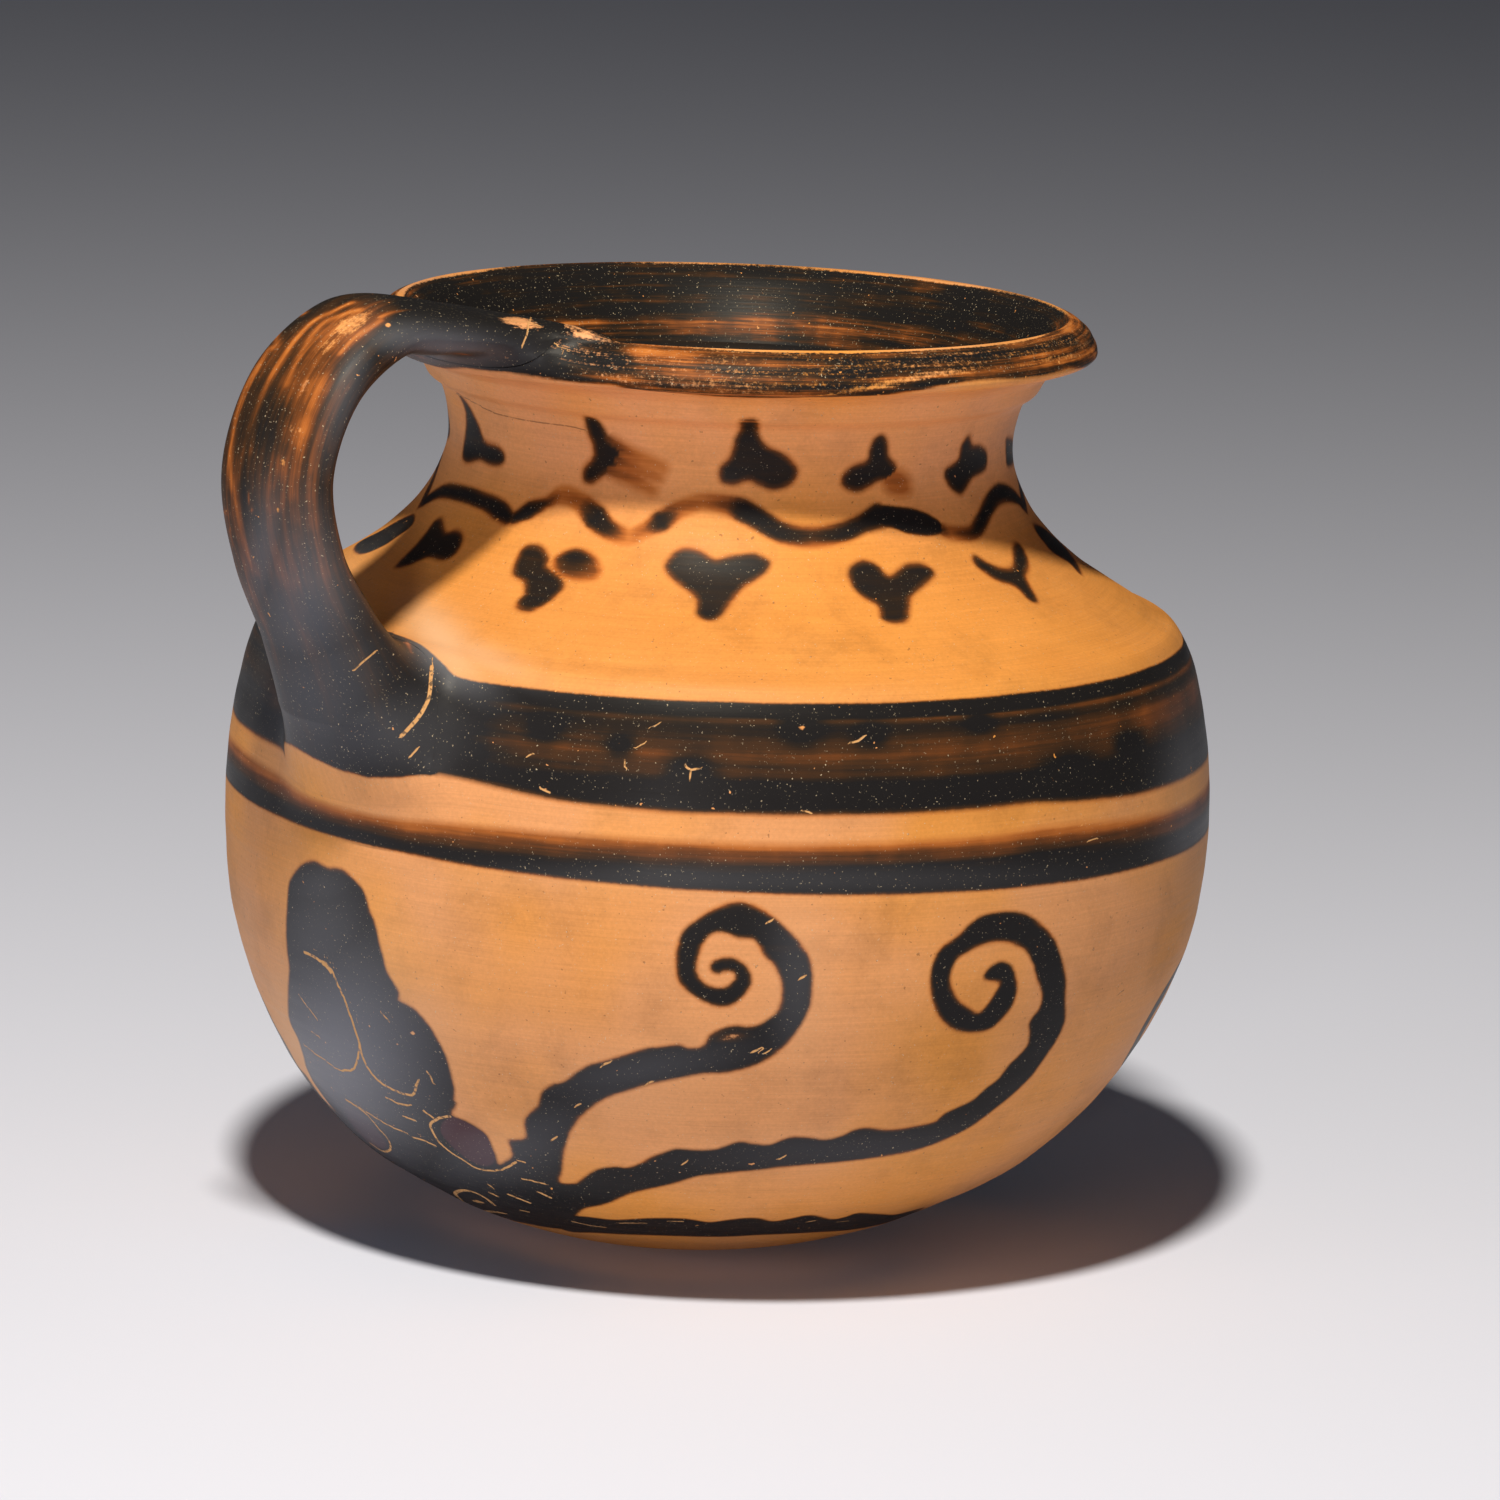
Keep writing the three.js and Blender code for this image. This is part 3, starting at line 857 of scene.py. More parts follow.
def onto_skin(pixels):
    """The first places on the skin that the rays meet, or pass nearest, in millimetres."""
    ways, reach = rays(pixels), np.arange(RAY_START, RAY_END, RAY_STEP)
    spots = CAMERA_PLACE + ways[:, None] * reach[:, None]
    flat = spots[..., :2] - drift_at(spots[..., 2])
    wall = np.interp(spots[..., 2], skin.line[:, 1], skin.line[:, 0], left=0, right=0)
    depth = wall - np.hypot(flat[..., 0], flat[..., 1])
    met = (depth > 0).any(1)
    first = np.where(met, (depth > 0).argmax(1), depth.argmax(1))
    pick = np.arange(len(first))
    now, before = depth[pick, first], depth[pick, first - 1]
    back = np.where(met, now / np.maximum(now - before, 1e-9), 0)
    return spots[pick, first] - ways * (RAY_STEP * back)[:, None]


def charted(pixels):
    """Traced points on the skin, as turns about the axis in radians and arc lengths along the outline."""
    points = onto_skin(pixels)
    flat = points[:, :2] - drift_at(points[:, 2])
    turn = np.arctan2(flat[:, 1], flat[:, 0]) % math.tau
    return np.stack([turn, np.interp(points[:, 2], skin.line[:, 1], skin.arc)], -1)


def chart_point(degrees, height):
    """A place on the skin by its turn in degrees and its height."""
    return math.radians(degrees), float(np.interp(height, skin.line[:, 1], skin.arc))


print("the photograph's middle lands at", np.round(onto_skin([(750, 750)])[0], 1))

# %% [markdown]
# ## Painting with distances
# A painted shape with crisp edges needs no picture. Each point of the clay keeps its distance from the
# nearest edge of the slip, above zero inside it, and the material turns that number into a sharp or a soft
# edge. The slip also has a tone, thin and brown or thick and black, and a softness. Thin scratches keep
# their distance with a sign for each side of the line, because such a number runs evenly through zero and
# stays sharp.

# %% How far points are from a line through space


def line_gap(points, line):
    """Distance to the nearest stretch of a line, that stretch's number, and the offset and share along it."""
    a, way = line[:-1], np.diff(line, axis=0)
    near, share, off = np.empty(len(points), int), np.empty(len(points)), np.empty((len(points), 3))
    for block in blocks(len(points)):
        gap = points[block, None] - a
        along = np.clip((gap * way).sum(-1) / np.maximum((way**2).sum(-1), 1e-9), 0, 1)
        aside = gap - along[..., None] * way
        best = (aside**2).sum(-1).argmin(1)
        pick = np.arange(len(best))
        near[block], share[block], off[block] = best, along[pick, best], aside[pick, best]
    return np.linalg.norm(off, axis=1), near, off, share


# %% A coat of paint on a set of points
FAR = 4.0
CUT_CHANNELS = 3
LINE_MARGIN, LINE_REACH, LINE_SURE, LINE_END = 1.5, 1.4, 0.95, 0.3


class Coat:
    """What is painted on a set of clay points."""

    def __init__(self, points, normals):
        count = len(points)
        self.points, self.normals = points, normals
        self.edge, self.purple, self.bare = (np.full(count, -FAR) for _ in range(3))
        self.tone, self.soft, self.worn = np.ones(count), np.full(count, 0.5), np.zeros(count)
        # Painted sheen: how far the slip turns grey and the clay pale, as glossy clay lit by the floor and
        # side light looks; beside the lower root it is a pale smear.
        self.sheen_and_smear = np.zeros(count)
        self.cuts = [np.tile((FAR, 0.0, 0.1), (count, 1)) for _ in range(CUT_CHANNELS)]

    def lay(self, index, distance, tone=1.0, soft=0.5):
        """Adds slip: where the new distance is greater, it gives the edge, the tone and the softness."""
        over = distance > self.edge[index]
        spot = index[over]
        self.edge[spot] = np.minimum(distance[over], FAR)
        self.tone[spot] = np.broadcast_to(tone, distance.shape)[over]
        self.soft[spot] = np.broadcast_to(soft, distance.shape)[over]

    def inside_box(self, line, margin):
        """The points in an upright box round a line through space."""
        low, high = line.min(0) - margin, line.max(0) + margin
        return np.flatnonzero(((self.points > low) & (self.points < high)).all(1))

    def score(self, channel, line, width):
        """A thin line through space, as a signed distance across it."""
        index = self.inside_box(line, LINE_MARGIN)
        far, near, off, share = line_gap(self.points[index], line)
        way = np.diff(line, axis=0)[near]
        side = np.where((np.cross(way, self.normals[index]) * off).sum(-1) < 0, -1, 1)
        past = ((near == 0) & (share <= 0)) | ((near == len(line) - 2) & (share >= 1))
        runs = (far < LINE_SURE) & ~(past & (far > LINE_END))
        cut = self.cuts[channel]
        better = (far < np.abs(cut[index, 0])) & (far < LINE_REACH)
        spot = index[better]
        cut[spot, 0], cut[spot, 1], cut[spot, 2] = (far * side)[better], runs[better], width / 2

    def rub(self, index, value, thinned, worn):
        """Makes the slip thinner and more worn, as far as the value says."""
        self.tone[index] *= 1 - thinned * value
        self.worn[index] = np.maximum(self.worn[index], worn * value)

    def store(self, mesh, piece, way):
        """Writes one piece's share of the coat into its mesh."""
        layers = {
            "slip_edge": self.edge, "slip_tone": self.tone, "slip_soft": self.soft,
            "purple_edge": self.purple, "bare_edge": self.bare, "worn": self.worn, "sheen_and_smear": self.sheen_and_smear,
            **{f"cut_{k + 1}": cut for k, cut in enumerate(self.cuts)}}
        for name, values in layers.items():
            keep(mesh, name, values[piece])
        keep(mesh, "way", way)


# %% The wall's coat, with a place for each point on the skin
pieces = list(clay)
counts = [len(clay[name]["points"]) for name in pieces]
starts = dict(zip(pieces, np.cumsum([0] + counts[:-1])))


def gathered(key):
    """What was kept for every piece, as one long array."""
    return np.concatenate([clay[name][key] for name in pieces])


wall = Coat(gathered("points"), gathered("normals"))
wall_turn, wall_arc, wall_side = gathered("turn"), gathered("arc"), gathered("side")
wall_radius = np.maximum(np.hypot(wall.points[:, 0], wall.points[:, 1]), 1)
wall_skin = np.flatnonzero(wall_side == "skin")
print("points on the skin:", len(wall_skin), "of", len(wall.points))


CURVE_STEPS, MARGIN = 4, 2.5


def beside(places):
    """Skin points near some places, with their turns counted from the middle of them."""
    middle = (places[:, 0].max() + places[:, 0].min()) / 2
    turn = (wall_turn[wall_skin] - middle + math.pi) % math.tau - math.pi + middle
    reach = MARGIN / wall_radius[wall_skin]
    arc = wall_arc[wall_skin]
    near = ((turn > places[:, 0].min() - reach) & (turn < places[:, 0].max() + reach)
            & (arc > places[:, 1].min() - MARGIN) & (arc < places[:, 1].max() + MARGIN))
    return wall_skin[near], turn[near]


def closed(points):
    """A smooth closed loop through points."""
    points = np.asarray(points, float)
    around = np.vstack([points[-2:], points, points[:3]])
    return smooth(around, np.linspace(2, len(points) + 2, len(points) * CURVE_STEPS, endpoint=False))


def loop_distance(index, turn, loop):
    """Signed distance from a closed loop, above zero inside, measured round and along the wall."""
    a, b = loop, np.roll(loop, -1, 0)
    result = np.empty(len(index))
    for block in blocks(len(index)):
        part = index[block]
        r, t, s = wall_radius[part, None], turn[block, None], wall_arc[part, None]
        ax, ay, bx, by = (a[:, 0] - t) * r, a[:, 1] - s, (b[:, 0] - t) * r, b[:, 1] - s
        wx, wy = bx - ax, by - ay
        share = np.clip(-(ax * wx + ay * wy) / (wx * wx + wy * wy + 1e-12), 0, 1)
        far = np.hypot(ax + share * wx, ay + share * wy).min(1)
        over = ax - ay * wx / np.where(wy == 0, 1e-12, wy)
        inside = (((ay > 0) != (by > 0)) & (over > 0)).sum(1) % 2 == 1
        result[block] = np.where(inside, far, -far)
    return result


def fill(loop, tone=1.0, soft=0.5, target="slip"):
    """Paints inside a loop of places on the wall."""
    loop = closed(loop)
    index, turn = beside(loop)
    distance = loop_distance(index, turn, loop)
    if target == "slip":
        wall.lay(index, distance, tone, soft)
    else:
        field = getattr(wall, target)
        field[index] = np.maximum(field[index], distance)


def stroke(places, widths, tones, soft=0.75):
    """Paints a brush stroke whose width and tone change along it."""
    steps = np.linspace(0, len(places) - 1, (len(places) - 1) * CURVE_STEPS + 1)
    line = smooth(places, steps)
    half = np.interp(steps, range(len(places)), widths) / 2
    tone = np.interp(steps, range(len(places)), tones)
    index, turn = beside(line)
    a, b = line[:-1], line[1:]
    for block in blocks(len(index)):
        part = index[block]
        r, t, s = wall_radius[part, None], turn[block, None], wall_arc[part, None]
        ax, ay, wx, wy = (a[:, 0] - t) * r, a[:, 1] - s, (b[:, 0] - a[:, 0]) * r, b[:, 1] - a[:, 1]
        share = np.clip(-(ax * wx + ay * wy) / (wx * wx + wy * wy + 1e-12), 0, 1)
        inside = half[:-1] + share * np.diff(half) - np.hypot(ax + share * wx, ay + share * wy)
        best = inside.argmax(1)
        pick = np.arange(len(part))
        tone_here = tone[:-1][best] + share[pick, best] * np.diff(tone)[best]
        wall.lay(part, inside[pick, best], tone_here, soft)


# %% [markdown]
# ## The bands
# The painter held a loaded brush against the turning pot, so a band's edges are level but waver. The wide
# band is black at both edges and brown between them, where the slip ran thin; the narrow one is brown above
# and black below. The edges tilt a little, because the pot sat askew on the wheel.

# %% Two bands round the belly
BAND_EDGES = {"wide top": (74.4, 0.0027), "wide low": (62.2, -0.0083),
              "narrow top": (58.2, -0.0011), "narrow low": (53.3, -0.0183)}
WAVER = {
    "wide low": [(320, -3), (340, -5), (400, 8), (430, 13), (480, 13), (500, 11), (520, 9), (560, 5),
                 (600, 2), (700, 0), (980, 3), (1060, 4), (1160, -4), (1200, -5)],
    "narrow top": [(225, 0), (240, 5), (270, 7), (340, 0), (460, -4), (560, 0), (1020, 4), (1060, 7),
                   (1100, 6), (1180, -3), (1200, -6)],
}
SEEN_RIGHT, SEEN_FRONT = math.radians(315), math.radians(225)


def read_off(table, places):
    """Reads a table of (place, value) rows, straight between its rows."""
    return np.interp(places, *np.array(table, float).T)


def band_edge(name, turn):
    """Arc length of a band's edge at each turn."""
    height, tilt = BAND_EDGES[name]
    across = GIRTH_RADIUS * np.cos(turn - SEEN_RIGHT)
    pixel = PHOTO_SIDE / 2 + across * PIXELS_PER_MM
    drawn = read_off(WAVER.get(name, [(0, 0), (PHOTO_SIDE, 0)]), pixel) / PIXELS_PER_MM
    behind = 0.35 * np.sin(3 * turn + len(name)) + 0.25 * np.sin(7 * turn)
    front = np.clip(np.cos(turn - SEEN_FRONT) * 3 + 0.4, 0, 1)
    brush = 0.025 * np.sin(11 * turn + len(name)) + 0.015 * np.sin(29 * turn)
    level = height + tilt * across + drawn * front + behind * (1 - front) + brush
    return np.interp(level, skin.line[:, 1], skin.arc)


WIDE_TONES = [(0, 1.2), (1.7, 1.1), (2.0, 0.6), (2.4, 0.62), (3.0, 0.9), (4.4, 0.64), (6.5, 0.58),
              (8.5, 0.66), (9.6, 1.05), (12.5, 1.2)]
NARROW_TONES = [(0, 0.3), (1.0, 0.42), (2.0, 0.62), (2.6, 1.0), (3.6, 1.2), (5, 1.2)]


def lay_band(top, low, tones, soft_top, soft_low):
    """Paints between two edges, with tones that change downwards from the top one."""
    turn, arc = wall_turn[wall_skin], wall_arc[wall_skin]
    above, below = band_edge(top, turn) - arc, arc - band_edge(low, turn)
    wall.lay(wall_skin, np.minimum(above, below), read_off(tones, above),
             np.where(above < below, soft_top, soft_low))


lay_band("wide top", "wide low", WIDE_TONES, 0.45, 1.0)
lay_band("narrow top", "narrow low", NARROW_TONES, 1.4, 0.6)
ROOT_BULGE = [(268, 696), (268, 712), (276, 720), (290, 730), (314, 747), (341, 764), (368, 777), (398, 777),
              (422, 774), (450, 765), (470, 740), (472, 700), (452, 677), (430, 663), (411, 650), (395, 640),
              (380, 636), (300, 660)]
BLACK = 1.35
fill(charted(ROOT_BULGE), tone=BLACK)
print("points inside the bands:", int((wall.edge > 0).sum()))

# %% [markdown]
# ## Leaves and vine
# Between lip and shoulder an ivy vine runs round the neck, with heart-shaped leaves above and below it. The
# leaves that the photograph shows are traced; on the far side the same hand goes on, so leaves of the traced
# shapes are set at the same spacing there. Some strokes were laid with a nearly dry brush and stay brown.

# %% The upper leaves
UPPER_LEAVES = [
    [(457, 394), (467, 405), (478, 426), (484, 441), (498, 447), (504, 456), (500, 464), (490, 464),
     (479, 459), (467, 462), (462, 456), (464, 441), (466, 426), (464, 408)],
    [(585, 418), (595, 420), (604, 431), (609, 441), (621, 451), (616, 466), (603, 475), (590, 483),
     (583, 478), (585, 467), (593, 458), (593, 446), (588, 432)],
    [(742, 422), (757, 422), (758, 435), (767, 447), (787, 457), (797, 471), (790, 484), (773, 489),
     (759, 484), (748, 480), (734, 484), (722, 481), (721, 468), (731, 457), (736, 440), (741, 430)],
    [(882, 436), (887, 443), (888, 456), (896, 467), (893, 478), (879, 480), (871, 485), (857, 491),
     (844, 486), (843, 477), (853, 467), (868, 461), (871, 449), (875, 440)],
    [(969, 437), (973, 446), (981, 447), (987, 454), (986, 468), (973, 477), (966, 488), (960, 493),
     (949, 484), (946, 471), (959, 460), (962, 447)],
    [(1008, 439), (1014, 444), (1014, 458), (1009, 465), (1007, 456), (1007, 445)],
]
FADED_STROKES = [
    [(604, 440, 10, 1), (616, 447, 11, 0.7), (630, 454, 10, 0.4), (646, 461, 9, 0.22), (662, 468, 6, 0.1)],
    [(602, 452, 12, 1), (616, 459, 13, 0.65), (630, 465, 12, 0.35), (646, 472, 10, 0.2),
     (658, 477, 6, 0.08)],
    [(602, 466, 10, 1), (616, 471, 11, 0.5), (630, 477, 11, 0.3), (642, 484, 8, 0.18), (652, 490, 5, 0.06)],
]
SMEAR = [(891, 470), (905, 478), (908, 490), (895, 492), (885, 482)]
UPPER_COAT = {"tone": 0.95, "soft": 1.0}
upper_loops = [charted(leaf) for leaf in UPPER_LEAVES]
for loop in upper_loops:
    fill(loop, **UPPER_COAT)
for points in FADED_STROKES:
    points = np.array(points)
    stroke(charted(points), points[:, 2] / PIXELS_PER_MM, points[:, 3], soft=1.6)
fill(charted(SMEAR), tone=0.3, soft=2.0)
print("upper leaves traced:", len(upper_loops))

# %% The lower leaves
LOWER_LEAVES = [
    [(441, 519), (445, 532), (456, 530), (462, 537), (456, 552), (443, 559), (428, 556), (408, 564),
     (396, 566), (403, 557), (418, 542), (428, 529), (434, 521)],
    [(532, 545), (542, 548), (548, 559), (546, 566), (557, 575), (563, 585), (555, 595), (542, 605),
     (529, 611), (517, 607), (519, 600), (525, 593), (524, 581), (514, 574), (516, 560), (523, 548)],
    [(684, 548), (699, 551), (714, 560), (730, 557), (745, 555), (756, 555), (769, 563), (759, 576),
     (742, 587), (731, 601), (717, 617), (706, 619), (698, 613), (697, 598), (686, 588), (671, 576),
     (666, 566), (673, 555)],
    [(862, 561), (876, 565), (890, 576), (907, 565), (924, 565), (934, 573), (924, 584), (911, 596),
     (907, 618), (896, 622), (883, 618), (879, 605), (865, 597), (853, 584), (850, 570)],
    [(976, 556), (988, 563), (1002, 568), (1014, 566), (1014, 548), (1018, 543), (1025, 551), (1029, 565),
     (1026, 576), (1036, 596), (1036, 601), (1029, 598), (1016, 586), (997, 579), (983, 570), (974, 561)],
    [(1035, 526), (1044, 528), (1061, 542), (1075, 559), (1081, 573), (1070, 562), (1050, 548)],
]
DRY_LOBE = [(553, 560), (562, 553), (575, 549), (588, 552), (597, 560), (601, 570), (596, 578), (582, 580),
            (566, 577), (556, 572)]
EDGE_STREAK = [(413, 514), (412, 524), (395, 537), (380, 546), (359, 553), (359, 541), (380, 530),
               (398, 520)]
LEAF_SOFT = 1.05
LOWER_COAT = {"tone": 0.86, "soft": LEAF_SOFT}
lower_loops = [charted(leaf) for leaf in LOWER_LEAVES]
for loop in lower_loops:
    fill(loop, **LOWER_COAT)
fill(charted(DRY_LOBE), tone=0.3, soft=0.9)
fill(charted(EDGE_STREAK), tone=0.95, soft=0.6)
print("lower leaves traced:", len(lower_loops))

# %% Leaves on the far side
FAR_SPREADS = (1, 0.92, 1.06)
FAR_LEAVES = [(upper_loops, (2, 4, 3, 2, 1), 161.7, 305.1, 7), (lower_loops, (3, 2, 1, 2), 142.0, 309.4, 6)]


def moved_to(loop, degrees, spread):
    """A loop carried round the axis to another turn, and made wider or narrower."""
    middle = loop[:, 0].mean()
    return np.stack([math.radians(degrees) + (loop[:, 0] - middle) * spread, loop[:, 1]], -1)


def far_leaves(loops, picks, first, last, count):
    """Copies of traced leaves, evenly spaced between the last traced leaf and the first one."""
    gap = (first + 360 - last) / (count + 1)
    for k in range(count):
        loop, spread = loops[picks[k % len(picks)]], FAR_SPREADS[k % len(FAR_SPREADS)]
        fill(moved_to(loop, last + gap * (k + 1), spread), soft=LEAF_SOFT)


for row in FAR_LEAVES:
    far_leaves(*row)
print("leaves:", len(upper_loops) + len(lower_loops) + sum(row[-1] for row in FAR_LEAVES))

# %% The vine
VINE_STROKES = [
    [(422, 502, 8, 1), (441, 491, 9, 1), (464, 494, 9, 1), (486, 502, 10, 1), (499, 510, 12, 1),
     (508, 518, 8, 1)],
    [(514, 518, 7, 1), (529, 510, 11, 1), (547, 502, 6, 0.8), (562, 495, 10, 0.4), (580, 502, 10, 0.5),
     (595, 517, 14, 1), (608, 529, 11, 0.9), (628, 537, 9, 0.35), (646, 529, 8, 0.5), (661, 521, 12, 1),
     (679, 510, 9, 0.5), (702, 502, 8, 0.35), (727, 505, 10, 0.6), (742, 510, 13, 1), (762, 521, 12, 1),
     (784, 533, 12, 0.9), (812, 537, 12, 0.7), (840, 533, 11, 0.9), (862, 524, 10, 1), (879, 516, 14, 1)],
    [(944, 530, 7, 0.7), (952, 533, 8, 0.4), (972, 533, 8, 0.7), (981, 523, 9, 1), (991, 503, 10, 1),
     (1002, 493, 11, 1), (1016, 496, 9, 1), (1025, 506, 8, 1)],
]
VINE_BLOB = [(879, 507), (896, 507), (918, 510), (938, 520), (944, 531), (930, 535), (910, 533), (893, 527),
             (879, 524)]
VINE_SPREAD, VINE_FADE = 1.65, 1.7
for points in VINE_STROKES:
    points = np.array(points)
    stroke(charted(points), points[:, 2] * VINE_SPREAD / PIXELS_PER_MM, points[:, 3] ** VINE_FADE, soft=0.9)
fill(charted(VINE_BLOB))

FAR_VINE = {"waves": 6, "middle": 91.7, "swing": 1.8, "width": 1.7, "gap": 9}


def far_vine():
    """The vine's way round the far side, in the same waves."""
    shares = np.linspace(0, 1, 8 * FAR_VINE["waves"] + 1)
    start, end = charted([VINE_STROKES[-1][-1][:2], VINE_STROKES[0][0][:2]])
    first, last = math.degrees(start[0]) + FAR_VINE["gap"], math.degrees(end[0]) + 360 - FAR_VINE["gap"]
    degrees = first + (last - first) * shares
    swing = FAR_VINE["swing"] * np.cos(shares * FAR_VINE["waves"] * math.tau - 0.9)
    places = np.array([chart_point(d, FAR_VINE["middle"] + s) for d, s in zip(degrees, swing)])
    places = np.vstack([start, places, end + [math.tau, 0]])
    shares = np.pad(shares, 1, mode="edge")
    widths = FAR_VINE["width"] * (1 + 0.2 * np.sin(shares * 31) + 0.1 * np.sin(shares * 83))
    stroke(places, widths, 0.78 + 0.22 * np.sin(shares * 47 + 1))


far_vine()
print("points inside slip:", int((wall.edge > 0).sum()))

# %% [markdown]
# ## The octopus
# The octopus sits under the handle with its mantle upwards, and its arms run out along the foot of the bowl
# to both sides and curl. Its right half is traced. The left half, which the photograph doesn't show, is the
# same turned over about the handle's plane, and a second, plainer octopus fills the far side, because the
# tip of one more curl shows at the right edge of the mug.

# %% The mantle and the head
AXIS_DEGREES = 176.5
MANTLE = [(292, 877), (299, 868), (306, 863), (314, 862), (322, 866), (328, 869), (335, 869), (343, 871),
          (352, 879), (361, 889), (365, 898), (368, 910), (374, 925), (378, 943), (382, 958), (385, 970),
          (392, 983), (398, 994), (397, 1001), (412, 1009), (423, 1020), (432, 1032), (440, 1047),
          (446, 1060), (450, 1076), (453, 1091), (452, 1105), (448, 1118), (430, 1140), (400, 1140),
          (372, 1122), (343, 1100), (330, 1089), (318, 1074), (305, 1056), (297, 1038), (290, 1023),
          (288, 1005), (288, 987), (289, 972), (288, 961), (287, 950), (286, 928), (287, 905), (288, 886)]
HEAD_EDGE = [(452, 1100), (450, 1115), (463, 1121), (476, 1128), (486, 1136), (491, 1147), (495, 1158),
             (498, 1166), (507, 1162), (513, 1157), (512, 1148), (522, 1142), (545, 1150), (556, 1166),
             (558, 1179), (561, 1184), (578, 1184), (596, 1174), (606, 1186), (600, 1203), (583, 1209),
             (575, 1216), (572, 1224), (569, 1232)]


def flipped(loop):
    """A loop turned over about the handle's plane."""
    return np.stack([2 * math.radians(AXIS_DEGREES) - loop[:, 0], loop[:, 1]], -1)[::-1]


PAST_AXIS = AXIS_DEGREES - 1
UNDER_HEAD = [(206, 5.6), (196, 4.4), (186, 3.9), (PAST_AXIS, 3.8), (PAST_AXIS, 12), (PAST_AXIS, 20),
              (182, 22)]
head = np.vstack([charted(HEAD_EDGE), [chart_point(degrees, height) for degrees, height in UNDER_HEAD]])
mantle = charted(MANTLE)
print("points round mantle and head:", len(mantle), len(head))

# %% The arms
FIRST_ARM = [
    (509, 1142), (516, 1141), (527, 1138), (525, 1123), (531, 1113), (539, 1106), (542, 1094), (552, 1086),
    (564, 1083), (578, 1073), (590, 1066), (605, 1062), (624, 1056), (644, 1050), (661, 1048), (678, 1046),
    (688, 1049), (698, 1049), (706, 1045), (709, 1038), (719, 1031), (734, 1027), (748, 1028), (759, 1026),
    (768, 1021), (777, 1014), (782, 1001), (783, 987), (781, 977), (775, 965), (765, 955), (759, 944),
    (753, 938), (739, 937), (729, 933), (717, 931), (707, 936), (701, 946), (697, 958), (695, 970),
    (700, 980), (709, 987), (722, 989), (732, 984), (737, 977), (734, 972), (726, 970), (718, 973),
    (712, 970), (712, 964), (719, 960), (731, 959), (742, 964), (749, 973), (750, 984), (743, 995),
    (732, 1004), (719, 1006), (705, 1001), (690, 992), (679, 980), (677, 965), (678, 948), (685, 931),
    (700, 919), (714, 910), (734, 903), (751, 905), (768, 914), (782, 926), (797, 941), (807, 955),
    (811, 970), (811, 987), (809, 1006), (799, 1026), (785, 1045), (770, 1057), (751, 1066), (726, 1072),
    (702, 1073), (675, 1078), (651, 1083), (627, 1090), (607, 1097), (588, 1109), (573, 1125), (566, 1140),
    (562, 1157), (558, 1179), (540, 1176), (520, 1160)]
SECOND_ARM = [
    (570, 1190), (587, 1177), (600, 1170), (617, 1168), (627, 1169), (639, 1165), (651, 1158), (666, 1153),
    (678, 1150), (695, 1151), (712, 1151), (724, 1148), (739, 1143), (753, 1145), (770, 1146), (782, 1141),
    (794, 1138), (810, 1139), (826, 1141), (842, 1137), (855, 1131), (867, 1129), (883, 1131), (899, 1130),
    (917, 1127), (935, 1123), (945, 1115), (958, 1109), (974, 1101), (986, 1090), (999, 1080), (1009, 1067),
    (1020, 1056), (1029, 1045), (1031, 1033), (1031, 1022), (1041, 1008), (1043, 992), (1038, 978),
    (1035, 965), (1028, 951), (1018, 945), (1004, 941), (986, 943), (967, 952), (956, 960), (950, 974),
    (951, 987), (958, 1001), (970, 1010), (979, 1014), (988, 1006), (997, 992), (1001, 984), (997, 981),
    (986, 979), (986, 974), (993, 967), (1002, 963), (1011, 967), (1015, 976), (1017, 990), (1012, 1006),
    (1002, 1019), (990, 1029), (974, 1032), (958, 1030), (945, 1022), (937, 1010), (932, 992), (932, 974),
    (938, 955), (945, 946), (956, 939), (970, 926), (983, 917), (1004, 913), (1025, 915), (1041, 925),
    (1054, 939), (1061, 958), (1066, 981), (1065, 1001), (1065, 1022), (1057, 1040), (1045, 1058),
    (1031, 1077), (1013, 1095), (993, 1111), (974, 1125), (954, 1136), (929, 1146), (908, 1152), (871, 1158),
    (837, 1162), (803, 1165), (780, 1167), (763, 1169), (726, 1173), (697, 1176), (678, 1182), (654, 1188),
    (629, 1194), (605, 1204), (583, 1209), (561, 1216), (555, 1200)]
THIRD_ARM = [
    (560, 1212), (569, 1216), (588, 1218), (603, 1220), (617, 1221), (634, 1220), (651, 1219), (675, 1219),
    (690, 1220), (709, 1223), (726, 1221), (743, 1219), (758, 1219), (773, 1222), (792, 1219), (811, 1216),
    (831, 1220), (845, 1218), (858, 1214), (878, 1215), (894, 1216), (908, 1213), (924, 1209), (900, 1219),
    (860, 1229), (811, 1233), (763, 1235), (724, 1237), (666, 1236), (629, 1235), (593, 1233), (569, 1232),
    (555, 1224)]
arms = [charted(arm) for arm in (FIRST_ARM, SECOND_ARM, THIRD_ARM)]
# The far cheek shows as a thin edge at the mug's left outline. Its places are turns in degrees and heights.
CHEEK = [(162, 25.5), (159.8, 23), (157.8, 20.5), (158, 16), (168, 16), (168, 23)]
cheek = [chart_point(degrees, height) for degrees, height in CHEEK]

FIGURE_COAT = {"tone": 1.15, "soft": 0.8}
for loop in [mantle, head, *arms, flipped(head), *map(flipped, arms), cheek]:
    fill(loop, **FIGURE_COAT)
print("arms:", len(arms), "on each side")

# %% The second octopus, on the far side
FAR_FOOT, FAR_SQUASH, FAR_SOFT = chart_point(0, 6)[1], 0.72, 0.45


def carried(loop, squash=1.0):
    """A loop set half a turn further round, pressed down towards the foot."""
    return np.stack([loop[:, 0] + math.pi, FAR_FOOT + (loop[:, 1] - FAR_FOOT) * squash], -1)


